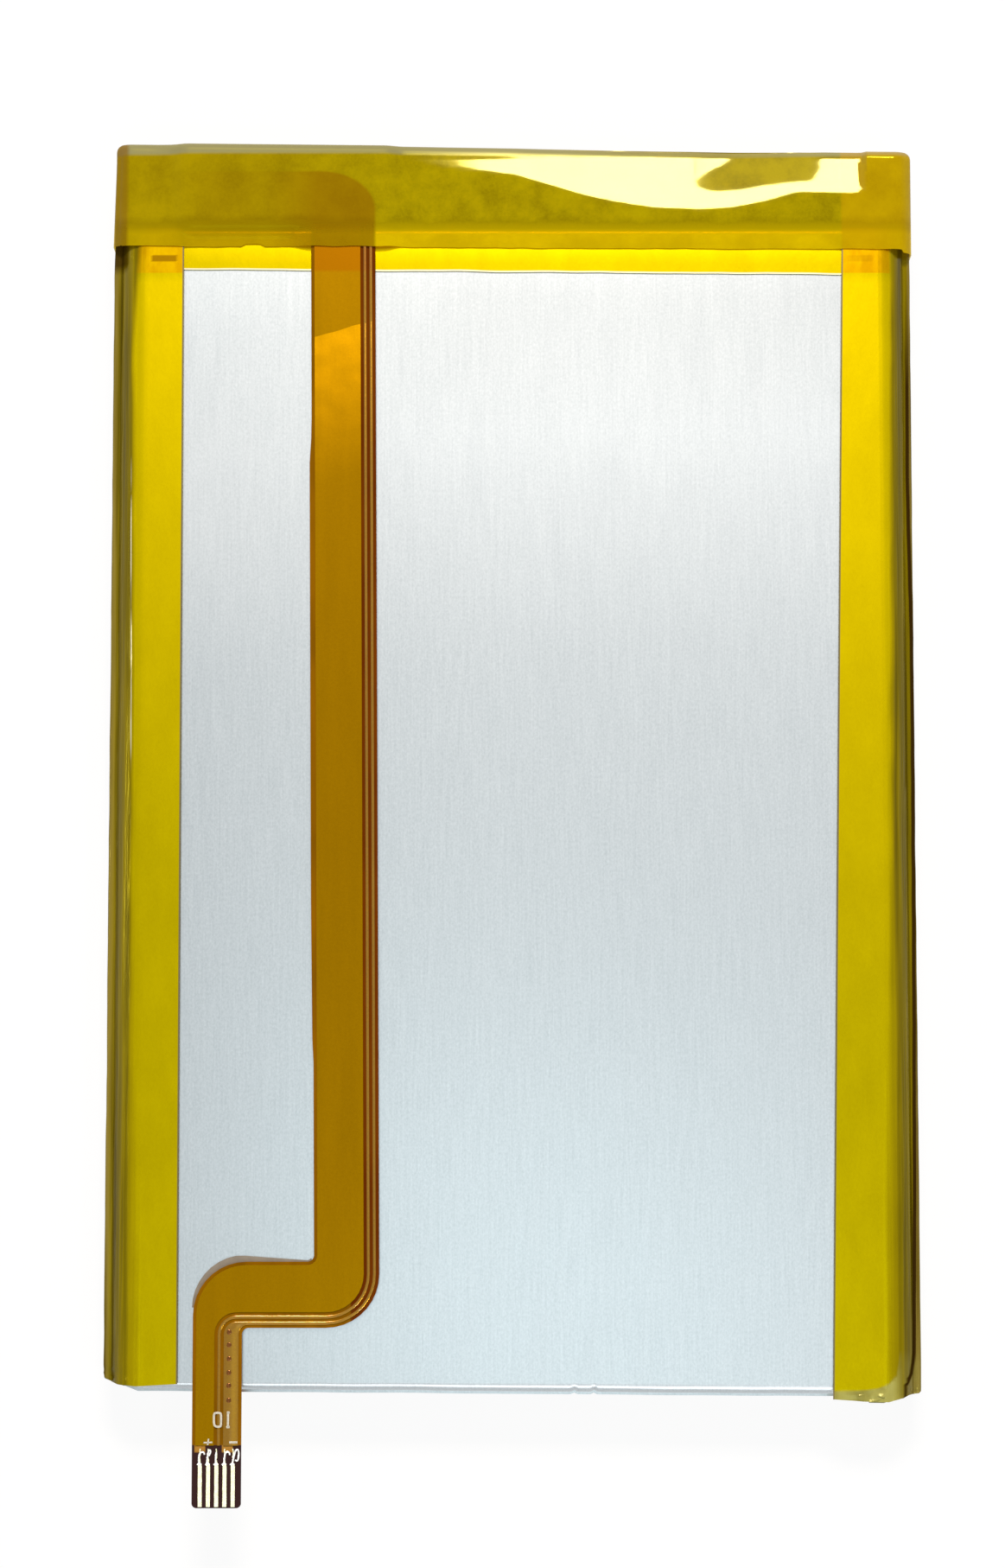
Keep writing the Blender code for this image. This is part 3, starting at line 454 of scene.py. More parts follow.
def cut_side_tape(bm, side, low, high, inner_edge, along_edge):
    """Cut a side tape along its features, so that it can change colour and bend there."""
    outer = high.x if side > 0.0 else -low.x
    slice_up(bm, 1, low.y, high.y, 0.8 * MM)
    slice_up(bm, 1, low.y, low.y + 1.8 * MM, 0.15 * MM)
    for level in (69.48, 69.56, 70.2, 70.3, 70.6, 70.7, 72.4, 72.55):
        score(bm, Vector((0.0, BOTTOM + level * MM, 0.0)), Vector((0.0, 1.0, 0.0)), SHOULDER)
    for reach in (20.9, 21.1, 22.5, 22.7, 23.0, 23.5, 23.6, outer / MM - 0.07):
        score(bm, Vector((side * reach * MM, 0.0, 0.0)), Vector((1.0, 0.0, 0.0)), SHOULDER)
    if side > 0.0:
        slice_up(bm, 0, 21.0 * MM, 23.1 * MM, 0.07 * MM, 4.0 * MM)
        slice_up(bm, 1, low.y, low.y + 1.0 * MM, 0.06 * MM, 4.0 * MM)
    for reach in (0.07 * MM, 0.10 * MM):
        score(bm, Vector((side * (inner_edge + reach), low.y, 0.0)), along_edge, SHOULDER)
    line, shifts = (SEAM[2:], (-0.13, -0.08, 0.08, 0.13)) if side > 0.0 else (CREASE, (-0.045, -0.02, 0.02, 0.045))
    for shift in shifts:
        for (y_low, x_low), (y_high, x_high) in zip(line, line[1:]):
            score(bm, Vector(((x_low + shift) * MM, BOTTOM + y_low * MM, 0.0)),
                  Vector((y_high - y_low, x_low - x_high, 0.0)).normalized(), 3.4 * MM)


def near_end(co, low):
    """1 at a tape's low end, 0 from 1.5 mm above it."""
    return 1.0 - ramp(co.y - low.y, 0.0, 1.5 * MM)


def shape_lip(co):
    """Crumple the right tape's overhanging lip, with flat facets that shine towards the far side."""
    x, y = co.x / MM, (co.y - BOTTOM) / MM
    folds = ramp(-y, -0.2, 0.6) * ramp(co.z, 3.5 * MM, 4.4 * MM) * 0.10
    folds *= ripple((co.x, co.y * 0.8, 0.0), 0.55 * MM, 7.7)
    co.z += folds * MM
    for x_low, x_high, y_low, y_high, lean in FACETS:
        inside = ramp(x, x_low, x_low + 0.07) * ramp(x_high - x, 0.0, 0.07)
        inside *= ramp(y + lean * (x - x_low), y_low - 0.02, y_low + 0.04) * ramp(y_high - y, -0.02, 0.04)
        co.z -= inside * (folds + math.tan(math.radians(18.5)) * (y - y_high)) * MM


def bend_side_tape(bm, side, low, settled):
    """Move a side tape to its final shape: uneven at its low end, slack and creased over the seal."""
    for vert in bm.verts:
        co = vert.co
        y = (co.y - BOTTOM) / MM
        near = near_end(co, low)
        co.y = BOTTOM + settled(co) * MM
        slack = ramp(abs(co.x), 23.2 * MM, 24.2 * MM)
        wave = ripple((0.0, co.y, co.z * 0.6), 7.0 * MM, side * 3.1)
        fine = ripple((co.x, co.y, co.z), 1.7 * MM, side * 5.3)
        crumple = ripple((co.x, co.y, co.z), 0.45 * MM, side * 2.9) * near * ramp(abs(co.x), 22.9 * MM, 24.0 * MM)
        shift = slack * (0.045 * wave + 0.02 * fine) * MM
        co.x -= side * (abs(shift) + 0.10 * MM * abs(crumple))
        co.z += 0.6 * shift + 0.14 * MM * crumple
        if side > 0.0 and y < 0.5:
            shape_lip(co)
        co.z -= 0.9 * MM * ramp(y, 72.4, 72.55) * ramp(co.z, 3.9 * MM, 4.4 * MM)
        if side < 0.0:
            dent = math.exp(-((co.x / MM + 23.95) / 0.3) ** 2 - ((y - 70.75) / 0.3) ** 2)
            co.z += 0.08 * MM * dent * ramp(co.z, 3.0 * MM, 4.0 * MM)
        narrow(co)


def side_tape(node_name, piece_name, side, edge_top, edge_bottom, shoulder, low_end):
    """One side tape: cut along its features, marked, then creased where it bridges the folded seal."""
    bm = copy_of(node_name)
    low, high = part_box(node_name)
    slope = (edge_top - edge_bottom) / (high.y - low.y)
    cut_side_tape(bm, side, low, high, edge_bottom, Vector((1.0, -side * slope, 0.0)))

    def settled(co):
        """Where a point's place along the cell will be, in mm, once the uneven low end is made."""
        return (co.y - BOTTOM) / MM + near_end(co, low) * (along(low_end, abs(co.x) / MM) - (low.y - BOTTOM) / MM)

    def over_gap(co):
        """The foil falls away below the tape, at a line that wavers along the shoulder; painted shade goes there.
        """
        y = (co.y - BOTTOM) / MM
        centre = along(shoulder, y) + 0.06 * ripple((0.0, co.y, 0.0), 2.5 * MM, side * 4.4)
        soft = 0.14 + 0.5 * ramp((32.0 if side > 0.0 else 24.0) - y, 0.0, 20.0)
        return ramp(abs(co.x) / MM, centre - soft, centre + soft)

    def on_face(co):
        return 1.0 if co.z > FACE else 0.0

    def cut_edge(co):
        from_edge = side * co.x - (edge_bottom + slope * (co.y - low.y))
        return on_face(co) * (1.0 - ramp(from_edge, 0.075 * MM, 0.095 * MM))

    def doubled(co):
        share = on_face(co) * ramp(co.y, BOTTOM + 69.49 * MM, BOTTOM + 69.55 * MM)
        share *= 1.0 - 0.6 * ramp(co.y, BOTTOM + 71.3 * MM, BOTTOM + 72.2 * MM)
        return share * ramp(OVERLAP_END - abs(co.x), -0.05 * MM, 0.05 * MM)

    def smudge(co):
        """A short dark mark of glue below the end tape's edge, stronger on the left."""
        share = (1.0 if side < 0.0 else 0.3) * ramp(co.y, BOTTOM + 70.2 * MM, BOTTOM + 70.3 * MM)
        share *= (1.0 - ramp(co.y, BOTTOM + 70.6 * MM, BOTTOM + 70.7 * MM)) * ramp(abs(co.x), 20.9 * MM, 21.1 * MM)
        return share * (1.0 - ramp(abs(co.x), 22.5 * MM, 22.7 * MM)) * on_face(co)

    def bare(co):
        """Beyond the fold nothing lies under the right tape; its border curves up round the corner."""
        if side < 0.0:
            return 0.0
        beyond = ramp(along(CORNER, co.x / MM) - settled(co), -0.06, 0.08)
        return beyond * (1.0 - 0.8 * ramp(co.x, 23.2 * MM, 23.8 * MM))

    def in_seam_shade(co):
        """The right shoulder's seam and a spot at the left tape's far corner, both painted dark as shade."""
        y = (co.y - BOTTOM) / MM
        if side < 0.0:
            return 0.85 * ramp(-co.x, 24.0 * MM, 24.2 * MM) * ramp(y, 69.7, 70.1) * ramp(co.z, 3.0 * MM, 3.3 * MM)
        if co.z < SHOULDER:
            return 0.0
        return (1.0 - ramp(abs(co.x / MM - along(SEAM, y)), 0.09, 0.14)) * ramp(71.5 - y, 0.0, 9.0)

    def outside(co):
        """Past the seam on the right, and the outermost strip on the left; both are painted darker as shade."""
        if side < 0.0:
            return ramp(abs(co.x), -low.x - 0.42 * MM, -low.x - 0.3 * MM)
        return ramp(co.x / MM - along(SEAM, (co.y - BOTTOM) / MM), 0.0, 0.05)

    def crease_glint(co):
        """A painted highlight along a crease on the left shoulder, where it catches the light."""
        if side > 0.0 or co.z <= 3.4 * MM:
            return 0.0
        y = (co.y - BOTTOM) / MM
        width = abs(co.x / MM - CREASE[0][1] + (y - CREASE[0][0]) * 0.0093)
        broken = ramp(ripple((0.0, co.y, 0.0), 2.0 * MM, 6.2), -0.4, 0.1)
        return 0.9 * broken * ramp(y, 38.5, 40.0) * ramp(57.5 - y, 0.0, 1.5) * (1.0 - ramp(width, 0.022, 0.044))

    mark(bm, {"gap": over_gap, "edge": cut_edge, "doubled": doubled, "smudge": smudge, "bare": bare,
              "seam_shade": in_seam_shade, "outer": outside, "painted_highlight": crease_glint})
    bend_side_tape(bm, side, low, settled)
    return add_piece(bm, piece_name, AMBER, [node_name])


side_tape("left_side_tape", "left_amber_tape", -1.0, 20.58 * MM, 20.40 * MM,
          ((0.0, 23.2), (11.0, 23.35), (38.0, 23.52), (56.0, 23.6), (65.0, 23.7), (70.4, 23.4)),
          ((20.4, 0.38), (22.97, 0.24), (24.08, 0.36), (25.03, 0.83)))
side_tape("right_side_tape", "right_amber_tape", 1.0, 20.76 * MM, 19.53 * MM,
          ((0.0, 23.3), (16.0, 23.35), (43.0, 23.5), (56.0, 23.6), (70.0, 23.75)),
          ((20.0, -0.55), (21.4, -0.68), (22.9, -0.72), (23.9, -0.60), (24.2, -0.46), (24.5, -0.40), (24.9, -0.42),
           (25.0, -0.25)))


# The terrace tape: a strip of the same film across the end of the face and down over the terrace,
# under the side tapes. Its cut edge is a little askew and wavy, with a painted highlight along it.

def terrace_tape():
    """The strip with its wavy cut edge."""
    bm = copy_of("terrace_tape")
    low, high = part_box("terrace_tape")
    slice_up(bm, 0, low.x, high.x, 0.4 * MM)
    for reach in (0.07, 0.11, 0.6):
        score(bm, Vector((0.0, low.y + reach * MM, 0.0)), Vector((0.0, 1.0, 0.0)))
    # the cut edge is marked for a painted highlight
    mark(bm, {"bare": lambda co: 0.8 * ramp(FACE - co.z, 0.2 * MM, 1.0 * MM),
              "painted_highlight": lambda co: 1.0 - ramp(co.y, low.y + 0.075 * MM, low.y + 0.105 * MM)})
    for vert in bm.verts:
        co = vert.co
        if co.y < low.y + 0.3 * MM:
            co.y += 0.1 * MM - 0.0077 * co.x + 0.06 * MM * ripple((co.x, 0.0, 0.0), 2.6 * MM, 1.7)
        narrow(co)
    return add_piece(bm, "terrace_amber_tape", AMBER, ["terrace_tape"])


terrace_tape()


# The flat cable: dark amber film with copper tracks under a clear cover, glued down the face and
# bare at the tongue, where five gold fingers meet the socket.

COVER_END = BOTTOM - 3.3 * MM


def cable_film_finish():
    """Dark red-brown film, glossy, a little uneven; blackish where it is bare at the tongue."""
    material, tree, shader = start_finish("cable_amber")
    cloud = grain(tree, (500.0, 120.0, 500.0), 3.0, 0.6)
    x, y = object_axis(tree, 0), object_axis(tree, 1)
    dark_side = between(tree, x, -9.9 * MM, -9.8 * MM)
    margin = blend_colour(tree, between(tree, cloud, 0.35, 0.65), (0.15, 0.06, 0.0003), (0.22, 0.088, 0.0003))
    tone = blend_colour(tree, between(tree, cloud, 0.35, 0.65), (0.085, 0.012, 0.0003), (0.125, 0.025, 0.0003))
    tone = blend_colour(tree, dark_side, margin, tone)
    lit = 0.0
    for low, high in ((-19.35, -18.62), (-17.68, -16.95)):
        patch = times(tree, between(tree, x, low * MM, (low + 0.08) * MM),
                      between(tree, x, (high - 0.08) * MM, high * MM, 1.0, 0.0))
        lit = calculate(tree, 'MAXIMUM', patch, lit)
    lit = times(tree, lit, between(tree, y, COVER_END - 0.48 * MM, COVER_END - 0.38 * MM))
    bared = blend_colour(tree, lit, (0.022, 0.008, 0.014), (0.34, 0.17, 0.03))
    covered = between(tree, y, COVER_END - 0.03 * MM, COVER_END + 0.03 * MM)
    tree.links.new(blend_colour(tree, covered, bared, tone), shader.inputs["Base Color"])
    shader.inputs["Roughness"].default_value = 0.22
    shader.inputs["Specular IOR Level"].default_value = 0.15
    shader.inputs["Specular Tint"].default_value = (1.0, 0.6, 0.1, 1.0)
    tree.links.new(relief(tree, cloud, 0.006 * MM), shader.inputs["Normal"])
    return material


def coated_copper_finish(name, darker, lighter, coat):
    """Copper seen through the amber cover: the cable's bulge below the end tape catches the window."""
    material, tree, shader = start_finish(name)
    cloud = grain(tree, (900.0, 90.0, 900.0), 4.0, 0.6)
    speckle = grain(tree, (7000.0, 7000.0, 7000.0), 2.0, 0.7)
    tone = plus(tree, times(tree, between(tree, cloud, 0.3, 0.7), 0.5),
                times(tree, between(tree, speckle, 0.25, 0.75), 0.5))
    x, y = object_axis(tree, 0), object_axis(tree, 1)
    over_tape = between(tree, y, BOTTOM + 69.5 * MM, BOTTOM + 69.7 * MM)
    warmer = tuple(part * share for part, share in zip(lighter, (0.92, 0.70, 1.0)))
    colour = blend_colour(tree, over_tape, blend_colour(tree, tone, darker, lighter), warmer)
    tree.links.new(colour, shader.inputs["Base Color"])
    shader.inputs["Metallic"].default_value = 0.98
    shader.inputs["Roughness"].default_value = 0.26
    shader.inputs["Specular Tint"].default_value = (1.0, 0.8, 0.1, 1.0)
    if coat:
        shader.inputs["Coat Weight"].default_value = 1.0
        shader.inputs["Coat Roughness"].default_value = 0.06
        shader.inputs["Coat IOR"].default_value = 1.3
    lean, length, slope = 0.3, 9.5 * MM, math.tan(math.radians(3.5))
    wander = times(tree, grain(tree, (420.0, 420.0, 420.0), 1.0), 0.35 * MM)
    start = plus(tree, calculate(tree, 'SUBTRACT', y, times(tree, x, lean)), wander)
    crest = BOTTOM + 65.75 * MM + lean * 11.1 * MM + 0.17 * MM
    bulge = between(tree, start, crest - length, crest)
    eased = calculate(tree, 'SUBTRACT', 1.0, calculate(tree, 'DIVIDE', bulge, 3.0))
    bump = relief(tree, times(tree, times(tree, bulge, bulge), eased), -length * slope, swell(tree))
    bump = relief(tree, cloud, 0.004 * MM, bump)
    tree.links.new(relief(tree, speckle, 0.0006 * MM, bump), shader.inputs["Normal"])
    return material


def plain_finish(name, colour, rough, metallic, spread=0.12, scale=1500.0, depth=0.003):
    """A finish with a fine grain in its colour and relief."""
    material, tree, shader = start_finish(name)
    speck = grain(tree, (scale, scale, scale), 3.0, 0.6)
    darker = tuple(channel * (1.0 - spread) for channel in colour)
    tree.links.new(blend_colour(tree, between(tree, speck, 0.35, 0.65), darker, colour),
                   shader.inputs["Base Color"])
    shader.inputs["Metallic"].default_value = metallic
    shader.inputs["Roughness"].default_value = rough
    tree.links.new(relief(tree, speck, depth * MM), shader.inputs["Normal"])
    return material


TRACK_CROWN = 0.02 * MM


def cable_rise(co):
    """How far the cable stands off the face at a point: the jog is not glued down."""
    return 0.03 * MM * ramp(BOTTOM + 15.0 * MM - co.y, 0.0, 8.0 * MM)


def cable_piece(node_name, piece_name, finish, rounded=0.0):
    """A part of the cable, cut up so that it follows the cable's rise; thin tracks are rounded over.

    The film's left edge also stands a little proud along the run, and copper ends where the cover does.
    """
    bm = copy_of(node_name)
    low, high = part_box(node_name)
    if rounded:
        tops = [face for face in bm.faces if face.normal.z > 0.9]
        bmesh.ops.inset_region(bm, faces=tops, thickness=rounded, use_even_offset=True)
        raised = {vert for face in tops for vert in face.verts}
        bmesh.ops.translate(bm, verts=list(raised), vec=(0.0, 0.0, TRACK_CROWN))
    slice_up(bm, 1, low.y, high.y, 1.5 * MM)
    bmesh.ops.triangulate(bm, faces=bm.faces[:])
    for vert in bm.verts:
        co = vert.co
        co.z += cable_rise(co)
        y = (co.y - BOTTOM) / MM
        if node_name != "flex_film":
            co.y = max(co.y, COVER_END - 0.03 * MM)
        elif -13.0 * MM < co.x < -12.2 * MM and 9.0 < y < 72.0:
            co.x -= 0.13 * MM * ramp(y, 12.0, 30.0) * (1.0 - ramp(y, 58.6, 59.0))
    return add_piece(bm, piece_name, finish, [node_name], 60.0)


CABLE_FILM = cable_film_finish()
WIDE_COPPER = coated_copper_finish("coated_copper", (0.24, 0.117, 0.0005), (0.29, 0.143, 0.0005), False)
THIN_COPPER = coated_copper_finish("thin_copper", (0.22, 0.10, 0.004), (0.29, 0.15, 0.008), True)
cable_piece("flex_film", "cable_film", CABLE_FILM)
cable_piece("positive_track", "wide_track", WIDE_COPPER)
cable_piece("sense_track", "inner_thin_track", THIN_COPPER, 0.055 * MM)
cable_piece("negative_track", "outer_thin_track", THIN_COPPER, 0.055 * MM)

GOLD = plain_finish("gold_plate", (1.0, 0.94, 0.62), 0.24, 1.0, 0.10, 3000.0, 0.02)


def finger(number):
    """A gold finger, uneven at its root where the cover ends and it is tinned."""
    node_name = f"contact_finger_{number}"
    bm = copy_of(node_name)
    low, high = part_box(node_name)
    slice_up(bm, 1, low.y, high.y - 1.0 * MM, 0.2 * MM)
    slice_up(bm, 1, high.y - 1.0 * MM, high.y, 0.07 * MM)
    middle = (low.x + high.x) / 2.0
    for vert in bm.verts:
        co = vert.co
        root = ramp(co.y, high.y - 0.95 * MM, high.y - 0.85 * MM)
        co.z += cable_rise(co)
        sway = ripple((0.0, co.y, 0.0), 0.16 * MM, 3.0 + 2.3 * number)
        worn = ripple((co.x * 3.0, co.y, 0.0), 0.45 * MM, 5.0 + 1.3 * number)
        width = (0.78 + 0.09 * worn) * (1.0 - 0.75 * root)
        co.x = middle + (co.x - middle) * width + root * 0.05 * MM * sway
    return add_piece(bm, f"gold_finger_{number}", GOLD, [node_name])


for number in range(1, 6):
    finger(number)


def through_holes():
    """Six plated holes in the field beside the tongue's tracks, each a small dish with a rim."""
    bm = bmesh.new()
    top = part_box("negative_track")[1].z + TRACK_CROWN
    profile = ((0.0, 0.0, 0.001), (0.05, 0.0, 0.003), (0.10, 0.0, 0.024), (0.12, 0.0, 0.024), (0.16, 0.0, -0.004))
    for y in (3.53, 2.75, 1.91, 1.07, 0.29, -0.60):
        place = Vector((-17.25 * MM, BOTTOM + y * MM, top))
        place.z += cable_rise(place)
        verts = [bm.verts.new(place + Vector(point) * MM) for point in profile]
        edges = [bm.edges.new(pair) for pair in zip(verts, verts[1:])]
        bmesh.ops.spin(bm, geom=verts + edges, cent=place, axis=(0.0, 0.0, 1.0), angle=math.tau, steps=16,
                       use_merge=True)
    bmesh.ops.remove_doubles(bm, verts=bm.verts[:], dist=0.001 * MM)
    bmesh.ops.recalc_face_normals(bm, faces=bm.faces[:])
    finish = plain_finish("dark_rim", (0.16, 0.05, 0.001), 0.18, 0.6, 0.3, 4000.0, 0.006)
    return add_piece(bm, "through_hole_rims", finish, (), 50.0)


through_holes()


def drawn(lines, width, height, level):
    """Round strokes along lines of points in mm, flattened; a line that ends where it began is closed."""
    curve = bpy.data.curves.new("strokes", 'CURVE')
    curve.dimensions = '3D'
    curve.bevel_depth = width / 2.0
    curve.bevel_resolution = 1
    curve.use_fill_caps = True
    for line in lines:
        closed = line[0] == line[-1]
        points = line[:-1] if closed else line
        spline = curve.splines.new('NURBS')
        spline.points.add(len(points) - 1)
        for point, (x, y) in zip(spline.points, points):
            point.co = (x * MM, BOTTOM + y * MM, 0.0, 1.0)
        spline.order_u = 3
        spline.resolution_u = 3
        spline.use_endpoint_u = not closed
        spline.use_cyclic_u = closed
    path = bpy.data.objects.new("strokes", curve)
    scene.collection.objects.link(path)
    mesh = bpy.data.meshes.new_from_object(path.evaluated_get(bpy.context.evaluated_depsgraph_get()))
    bm = bmesh.new()
    bm.from_mesh(mesh)
    bpy.data.objects.remove(path)
    bpy.data.curves.remove(curve)
    bpy.data.meshes.remove(mesh)
    for vert in bm.verts:
        vert.co.z = level + cable_rise(vert.co) + vert.co.z * height / width
    return bm


def join(bm, other):
    """Take another shape into this one."""
    mesh = bpy.data.meshes.new("other")
    other.to_mesh(mesh)
    other.free()
    bm.from_mesh(mesh)
    bpy.data.meshes.remove(mesh)


def white_marks():
    """The white printed marks on the tongue: a ring and a bar, a plus and a minus."""
    ring = ((-18.10, -1.36), (-17.76, -1.36), (-17.70, -1.42), (-17.70, -2.12), (-17.76, -2.20),
            (-18.02, -2.20), (-18.14, -2.06), (-18.14, -1.50), (-18.10, -1.36))
    bar = (((-17.35, -1.34), (-17.18, -1.34)), ((-17.28, -1.34), (-17.28, -2.22)),
           ((-17.38, -2.22), (-17.18, -2.22)))
    plus_sign = (((-18.76, -3.16), (-18.22, -3.14)), ((-18.46, -2.92), (-18.50, -3.30)))
    minus_sign = (((-17.20, -3.14), (-16.70, -3.14)),)
    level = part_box("positive_track")[1].z + TRACK_CROWN + 0.006 * MM
    bm = drawn((ring, *bar, *minus_sign), 0.13 * MM, 0.02 * MM, level)
    join(bm, drawn(plus_sign, 0.09 * MM, 0.02 * MM, level))
    return add_piece(bm, "white_marks", plain_finish("white_print", (0.55, 0.53, 0.44), 0.5, 0.0, 0.25, 6000.0))


white_marks()


def tinned_roots():
    """Bright runs of solder over the roots of the fingers, where they were tinned by hand."""
    lines = []
    hooks = {1: ((0.0, 0.1), (-0.02, 0.45), (0.04, 0.72), (0.20, 0.80), (0.32, 0.74), (0.33, 0.62)),
             2: ((-0.02, 0.1), (0.02, 0.5), (0.08, 0.86), (0.18, 0.92), (0.22, 0.76), (0.10, 0.55)),
             3: ((0.02, 0.1), (0.0, 0.4), (0.05, 0.78)),
             4: ((0.02, 0.1), (0.06, 0.5), (0.10, 0.76), (0.24, 0.82), (0.38, 0.72), (0.36, 0.60)),
             5: ((0.04, 0.15), (0.14, 0.60), (0.24, 0.95), (0.40, 0.92), (0.43, 0.55), (0.34, 0.18), (0.20, 0.30))}
    root = (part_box("contact_finger_1")[1].y - BOTTOM) / MM - 0.98
    for number, hook in hooks.items():
        low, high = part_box(f"contact_finger_{number}")
        middle = (low.x + high.x) / 2.0 / MM - 0.06
        lines.append(tuple((middle + x, root + y) for x, y in hook))
        lines.append(((middle - 0.10, root), (middle, root + 0.16), (middle + 0.15, root + 0.02)))
    bm = drawn(lines, 0.10 * MM, 0.05 * MM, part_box("contact_finger_1")[1].z + 0.01 * MM)
    finish = plain_finish("tin", (0.98, 0.96, 0.90), 0.2, 1.0, 0.08, 5000.0, 0.01)
    return add_piece(bm, "tinned_roots", finish, (), 60.0)


tinned_roots()


def refinish(node_name, finish):
    """Give a CAD node that keeps its own shape its finish."""
    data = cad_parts[node_name].data
    data.materials.clear()
    data.materials.append(finish)


refinish("return_track", plain_finish("bare_copper", (0.72, 0.38, 0.22), 0.3, 1.0))
refinish("tongue_stiffener", plain_finish("stiff_amber", (0.42, 0.24, 0.04), 0.45, 0.0))


def adhesive_strip():
    """The double-sided strip under the run, and a glue pad under the jog, a little out of line; its dark edge is
    painted shade.
    """
    bm = copy_of("flex_adhesive")
    glue_and_shadow_pad = copy_of("flex_film")
    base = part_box("flex_adhesive")[0].z
    for point, normal in (((-12.2 * MM, 0.0, 0.0), (1.0, 0.0, 0.0)),
                          ((0.0, BOTTOM + 4.6 * MM, 0.0), (0.0, -1.0, 0.0)),
                          ((0.0, BOTTOM + 10.0 * MM, 0.0), (0.0, 1.0, 0.0))):
        geom = glue_and_shadow_pad.verts[:] + glue_and_shadow_pad.edges[:] + glue_and_shadow_pad.faces[:]
        bmesh.ops.bisect_plane(glue_and_shadow_pad, geom=geom, dist=0.0005 * MM, plane_co=point, plane_no=normal, clear_outer=True)
        bmesh.ops.holes_fill(glue_and_shadow_pad, edges=[edge for edge in glue_and_shadow_pad.edges if edge.is_boundary])
    slice_up(glue_and_shadow_pad, 0, -20.0 * MM, -12.2 * MM, 0.5 * MM)
    middle = (min(vert.co.z for vert in glue_and_shadow_pad.verts) + max(vert.co.z for vert in glue_and_shadow_pad.verts)) / 2.0
    for vert in glue_and_shadow_pad.verts:
        vert.co.x -= 0.08 * MM
        vert.co.y += 0.42 * MM - 0.34 * MM * ramp(vert.co.x, -17.0 * MM, -12.4 * MM)
        vert.co.z = base + (0.002 * MM if vert.co.z < middle else 0.13 * MM)
    join(bm, glue_and_shadow_pad)
    # painted shade: the pad's dark grey stands partly for glue and partly for the shadow of the lifted jog
    finish = plain_finish("adhesive", (0.21, 0.175, 0.13), 0.5, 0.0, 0.25, 900.0, 0.02)
    return add_piece(bm, "adhesive_strip", finish, ["flex_adhesive"])


adhesive_strip()


# The protection board under the cable's head, with its parts, its two weld pads, the foam pad
# below it and the tabs that come out of the sealed edge.

refinish("protection_board", plain_finish("board_green", (0.04, 0.20, 0.08), 0.45, 0.0))
CHIP = plain_finish("chip_black", (0.03, 0.03, 0.03), 0.5, 0.0)
RESISTOR = plain_finish("resistor_black", (0.05, 0.05, 0.06), 0.4, 0.0)
CERAMIC = plain_finish("ceramic_tan", (0.45, 0.33, 0.22), 0.45, 0.0)
NICKEL = plain_finish("nickel", (0.66, 0.64, 0.60), 0.3, 1.0)
POLYMER = plain_finish("tab_polymer", (0.75, 0.74, 0.70), 0.5, 0.0)
for name, finish in (("switch_transistors", CHIP), ("protection_chip", CHIP), ("resistor_1", RESISTOR),
                     ("resistor_2", RESISTOR), ("capacitor_1", CERAMIC), ("capacitor_2", CERAMIC),
                     ("thermistor", CERAMIC), ("negative_weld_pad", NICKEL), ("positive_weld_pad", NICKEL),
                     ("negative_tab", NICKEL), ("negative_tab_film", POLYMER), ("positive_tab_film", POLYMER)):
    refinish(name, finish)
refinish("positive_tab", plain_finish("aluminium", (0.82, 0.82, 0.83), 0.35, 1.0))
refinish("component_pad", plain_finish("foam_grey", (0.16, 0.16, 0.17), 0.9, 0.0, 0.3, 3000.0, 0.03))


# The end tape: a wider strip of duller amber film, wrapped round the whole terrace end like a cap.
# It is stuck down on the face, stands up over the cable's head, and sags over the open terrace.

